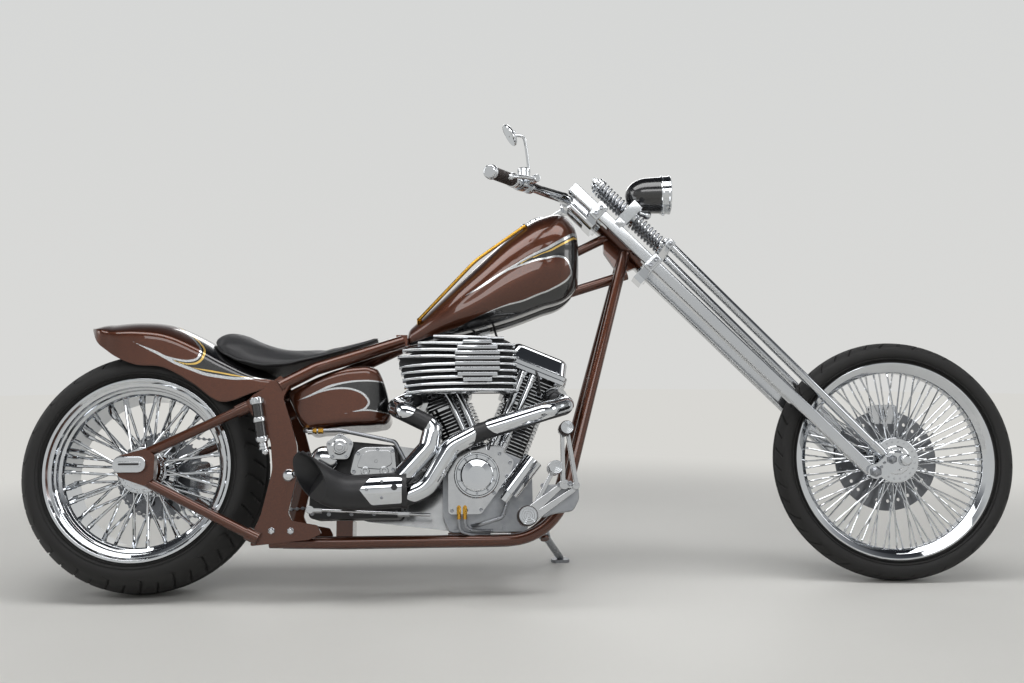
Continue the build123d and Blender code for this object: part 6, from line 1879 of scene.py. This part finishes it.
class MOTORCYCLE_OT_handlebar_details(Operator):
    """Ribbed grips between plated collars, the reservoirs, levers, clamps and the mirror"""

    bl_idname = "motorcycle.handlebar_details"
    bl_label = "Handlebar details"

    def execute(self, context):
        rubber, bright, screws = bmesh.new(), bmesh.new(), bmesh.new()
        for flip in (-1, 1):
            start, way = mirrored(GRIP_START, flip), mirrored(BAR_WAY, flip)
            ribs = []
            for k in range(19):
                h = 5 + k * 5.8
                ribs += [(15.4, h), (16.4, h + 0.8), (16.4, h + 3.6), (15.4, h + 4.4)]
            sleeve_outline = [(12.9, 3), (15.4, 3), *ribs, (15.4, 115), (12.9, 115), (12.9, 3)]
            lathe(rubber, sleeve_outline, start, way, steps=40)
            seat = start - way * 42
            collar = [(12.9, -7), (18.2, -7), (19, -5.5), (19, -1), (17.4, 1), (17.4, 3), (19, 4), (19, 6),
                      (16, 7), (12.9, 7), (12.9, -7)]
            end_cap = [(0, 113), (18.6, 113), (19.4, 115), (19.4, 119), (18.4, 121), (15, 122), (14.6, 120.6),
                       (9, 120.6), (8.6, 122.6), (4, 124.6), (0, 125)]
            clamp = [(12.9, -14), (20.4, -14), (21.2, -12), (21.2, 12), (20.4, 14), (12.9, 14), (12.9, -14)]
            for outline, centre in ((collar, start), (end_cap, start), (clamp, seat)):
                lathe(bright, outline, centre, way, steps=40)
            for offset in (-8, 8):
                bolt(screws, seat + way * offset + mirrored((-21, 0, 0), flip), (-1, 0, 0), 3.2, 3.5)
            pot = seat + mirrored((10, 6, 8), flip)
            reservoir = [(0, 0), (15.5, 0), (16.6, 1.5), (16.6, 22), (17.8, 23.5), (17.8, 30), (15, 33),
                         (8, 35), (0, 35.5)]
            lathe(bright, reservoir, pot, UP, steps=40)
            body = [seat + mirrored(p, flip) for p in ((20, 12, 6), (46, -34, 4))]
            rod(bright, body[0], body[1], 10.4, sides=28, ease=2.5)
            pivot = seat + mirrored((38, -22, 2), flip)
            bolt(bright, pivot - UP * 8, UP, 7, 17, "hex")
            tip = start + way * 118 + mirrored((50, 18, -8), flip)
            tube(bright, [pivot, pivot + way * 22 + Vector((8, 0, 0)), start + way * 20 + Vector((62, 0, -2)),
                          start + way * 80 + Vector((56, 0, -4)), tip], 5.2, sides=5)
            ball(bright, tip, 8, 20)
        make_piece(rubber, "ribbed_grips", "grip_rubber", "grips", 24, body="fork")
        make_piece(bright, "hand_levers", "chrome_plate", "hand_controls", 30, body="fork")
        make_piece(screws, "lever_screws", "plated_steel", body="fork")
        hose = bmesh.new()
        stations = ((44, (24, -6, 0)), (70, (23, 0, 2)), (92, (25, 0, 1)), (114, (22, 0, 2)), (150, (15, 0, 6)),
                    (230, (13, 0, 10)), (290, (8, 0, 14)))
        along_bar = [GRIP_START - BAR_WAY * reach + Vector(off) for reach, off in stations]
        ends = [Vector((BAR_MIDDLE.x, y, BAR_MIDDLE.z + 16)) for y in (-72, -50)]
        tube(hose, [*along_bar, *ends], 3.4, sides=4)
        make_piece(hose, "brake_hose", "hose_rubber", body="fork")
        self.mirror()
        return {"FINISHED"}

    def mirror(self):
        """The small round mirror on its bent stalk."""
        foot = GRIP_START - BAR_WAY * 92
        stalk, glass = bmesh.new(), bmesh.new()
        head = foot + Vector((-52, -20, 136))
        bends = ((0, 0, 0), (2, -2, 40), (-3, -6, 84), (-8, -12, 126), (-14, -16, 138), (-30, -18, 137))
        tube(stalk, [*(foot + Vector(bend) for bend in bends), head], 4.2, sides=5)
        facing = Vector((-0.84, -0.12, -0.52)).normalized()
        back = [(0, 0.6), (29, 0.6), (30.5, -0.6), (32, 0.6), (32.6, 3), (31.6, 6), (27, 10.5), (16, 14),
                (0, 15)]
        lathe(stalk, back, head, -facing, steps=48)
        ball(stalk, head - facing * 15, 8, 24)
        collar_outline = [(12.9, -8), (19, -8), (20, -6), (20, 6), (19, 8), (12.9, 8), (12.9, -8)]
        lathe(stalk, collar_outline, foot, BAR_WAY, steps=36)
        lathe(glass, [(0, -0.2), (29, -0.2), (29, 0.4), (0, 0.4)], head, -facing, steps=48)
        make_piece(stalk, "mirror_head", "chrome_plate", "mirror", body="fork")
        make_piece(glass, "mirror_glass", "silvered_glass", body="fork")


# The stage
FLOOR_R = 14.0
FLOOR_FADE = (1.3, 3.4)  # between these distances the floor fades to an even tone
# Sine of the height above the horizon, and colour
SKY = ((0.0, "D9D9D7"), (0.34, "D6D7D6"), (0.48, "9A9C9F"), (0.66, "3A3C40"), (1.0, "26282B"))


class MOTORCYCLE_OT_stage(Operator):
    """The pale floor, the soft lamps and the camera"""

    bl_idname = "motorcycle.stage"
    bl_label = "Stage"

    def execute(self, context):
        stage = settings("bike_stage")
        self.floor(stage)
        self.camera(stage)
        self.sky()
        lamps = (  # name, place, aim, width, height, share of the power
            ("overhead", (-0.1, -0.9, 3.2), (0.0, 0.0, 0.3), 4.6, 1.3, 1.0),
            ("side_right", (-0.4, -4.6, 3.4), (0.0, 0.0, 0.5), 4.4, 1.1, 0.75),
            ("side_left", (0.6, 4.6, 3.2), (0.0, 0.0, 0.5), 4.4, 1.1, 0.6),
            ("front", (4.6, -1.4, 2.6), (0.4, 0.0, 0.5), 1.6, 1.6, 0.3),
            ("back", (-4.6, -0.8, 2.6), (-0.4, 0.0, 0.5), 1.6, 1.6, 0.3),
        )
        for name, place, aim, width, height, share in lamps:
            lamp = bpy.data.lights.new(name, "AREA")
            lamp.shape, lamp.size, lamp.size_y = "RECTANGLE", width, height
            lamp.energy = share * stage.key_power
            lit = bpy.data.objects.new(name, lamp)
            context.scene.collection.objects.link(lit)
            look = (Vector(aim) - Vector(place)).to_track_quat("-Z", "Y").to_matrix().to_4x4()
            lit.matrix_world = Matrix.Translation(Vector(place)) @ look
        context.scene.view_settings.view_transform = "Standard"
        return {"FINISHED"}

    def floor(self, stage):
        """A wide disc of pale painted concrete."""
        part = bmesh.new()
        bmesh.ops.create_circle(part, cap_ends=True, segments=96, radius=FLOOR_R)
        mesh = bpy.data.meshes.new("floor")
        part.to_mesh(mesh)
        part.free()
        floor = bpy.data.objects.new("floor", mesh)
        bpy.context.scene.collection.objects.link(floor)
        values = {"Roughness": 0.55, "Specular IOR Level": 0.3}
        material, tree, shader, where = new_material("painted_floor", values)
        cloud = add_node(tree, "TexNoise", values={"Scale": 1.2, "Detail": 4.0}, links={"Vector": where})
        tint = add_node(tree, "Mix", {"data_type": "RGBA"}, {"A": linear(stage.floor), "B": linear("CFCECA")},
                        {"Factor": cloud.outputs["Fac"]})
        feed(tree, shader, {"Base Color": tint.outputs["Result"]})
        reach = add_node(tree, "VectorMath", {"operation": "LENGTH"}, links={0: where})
        fade = {"From Min": FLOOR_FADE[0], "From Max": FLOOR_FADE[1]}
        far = add_node(tree, "MapRange", {"interpolation_type": "SMOOTHSTEP"}, fade,
                       {"Value": reach.outputs["Value"]})
        glow = add_node(tree, "Emission", values={"Color": linear(stage.floor), "Strength": 1.0})
        blend = add_node(tree, "MixShader", links={
            0: self.seen(tree, far.outputs["Result"]), 1: shader.outputs["BSDF"], 2: glow.outputs["Emission"]})
        feed(tree, tree.nodes["Material Output"], {"Surface": blend.outputs["Shader"]})
        mesh.materials.append(material)

    def seen(self, tree, share):
        """A share that holds only for what is seen directly, mirrored, or seen through glass."""
        path = add_node(tree, "LightPath")
        direct = path.outputs["Is Camera Ray"]
        for ray in ("Is Glossy Ray", "Is Transmission Ray"):
            either = add_node(tree, "Math", {"operation": "MAXIMUM"}, links={0: direct, 1: path.outputs[ray]})
            direct = either.outputs[0]
        return add_node(tree, "Math", {"operation": "MULTIPLY"}, links={0: direct, 1: share}).outputs[0]

    def camera(self, stage):
        """The camera where the photograph was taken from."""
        data = bpy.data.cameras.new("camera")
        data.lens, data.sensor_width = stage.lens, 36.0
        camera = bpy.data.objects.new("camera", data)
        bpy.context.scene.collection.objects.link(camera)
        pan, tilt, roll = stage.camera_turn
        turn = Matrix.Rotation(pan, 4, "Z") @ Matrix.Rotation(tilt, 4, "X") @ Matrix.Rotation(roll, 4, "Y")
        upright = Matrix.Rotation(math.pi / 2, 4, "X")
        camera.matrix_world = Matrix.Translation(Vector(stage.camera_place)) @ turn @ upright
        bpy.context.scene.camera = camera

    def sky(self):
        """A pale studio: light at the horizon and dark overhead, which gives the metal something to mirror."""
        world = bpy.data.worlds.new("studio")
        bpy.context.scene.world = world
        world.use_nodes = True
        tree = world.node_tree
        tree.nodes.clear()
        where = add_node(tree, "TexCoord").outputs["Generated"]
        height = add_node(tree, "SeparateXYZ", links={"Vector": where}).outputs["Z"]
        ramp = add_node(tree, "ValToRGB", links={"Fac": height})
        bands = ramp.color_ramp.elements
        bands[0].position, bands[0].color = SKY[0][0], linear(SKY[0][1])
        bands[1].position, bands[1].color = SKY[-1][0], linear(SKY[-1][1])
        for position, colour in SKY[1:-1]:
            bands.new(position).color = linear(colour)
        always = add_node(tree, "Value")
        always.outputs[0].default_value = 1.0
        strength = add_node(tree, "MapRange", values={"To Min": 0.8, "To Max": 1.0},
                            links={"Value": self.seen(tree, always.outputs[0])})
        back = add_node(tree, "Background",
                        links={"Color": ramp.outputs["Color"], "Strength": strength.outputs["Result"]})
        add_node(tree, "OutputWorld", links={"Surface": back.outputs["Background"]})


class MOTORCYCLE_OT_finishes(Operator):
    """Gives every kept shape of the frame its finish"""

    bl_idname = "motorcycle.finishes"
    bl_label = "Finishes"

    def execute(self, context):
        make_finishes()
        for finish, names in NODE_FINISHES.items():
            for name in names:
                node = frame["nodes"][name]
                node.data.materials.clear()
                node.data.materials.append(FINISHES[finish])
                SLOT_OF.get(finish, finish)
        return {"FINISHED"}


STEPS = (
    MOTORCYCLE_OT_finishes, MOTORCYCLE_OT_tyres, MOTORCYCLE_OT_wheels,
    MOTORCYCLE_OT_fuel_tank, MOTORCYCLE_OT_fender, MOTORCYCLE_OT_oil_tank,
    MOTORCYCLE_OT_seat, MOTORCYCLE_OT_cylinders, MOTORCYCLE_OT_rocker_covers,
    MOTORCYCLE_OT_pushrods, MOTORCYCLE_OT_air_cleaner, MOTORCYCLE_OT_case_details,
    MOTORCYCLE_OT_gearbox_details, MOTORCYCLE_OT_exhaust_details, MOTORCYCLE_OT_foot_details,
    MOTORCYCLE_OT_chain_drive, MOTORCYCLE_OT_axle_covers, MOTORCYCLE_OT_springs,
    MOTORCYCLE_OT_fork_details, MOTORCYCLE_OT_headlamp, MOTORCYCLE_OT_handlebar_details,
    MOTORCYCLE_OT_stage,
)


class MOTORCYCLE_PT_build(Panel):
    """Lists the machine's pieces in the order they are made"""

    bl_idname = "MOTORCYCLE_PT_build"
    bl_label = "Motorcycle"
    bl_space_type = "VIEW_3D"
    bl_region_type = "UI"
    bl_category = "Motorcycle"

    def draw(self, context):
        for name in SETTINGS:
            group = getattr(context.scene, name)
            box = self.layout.box()
            for key in type(group).__annotations__:
                box.prop(group, key)
        for step in STEPS:
            self.layout.operator(step.bl_idname)


def register():
    """Registers the settings, the steps and the panel."""
    for kind in (*SETTINGS.values(), *STEPS, MOTORCYCLE_PT_build):
        bpy.utils.register_class(kind)
    for name, kind in SETTINGS.items():
        setattr(bpy.types.Scene, name, PointerProperty(type=kind))


def unregister():
    """Takes them off again."""
    for name in SETTINGS:
        delattr(bpy.types.Scene, name)
    for kind in reversed((*SETTINGS.values(), *STEPS, MOTORCYCLE_PT_build)):
        bpy.utils.unregister_class(kind)


def main():
    """Builds the machine's looks step by step."""
    register()
    for step in STEPS:
        group, name = step.bl_idname.split(".")
        getattr(getattr(bpy.ops, group), name)()


if __name__ == "__main__":
    main()
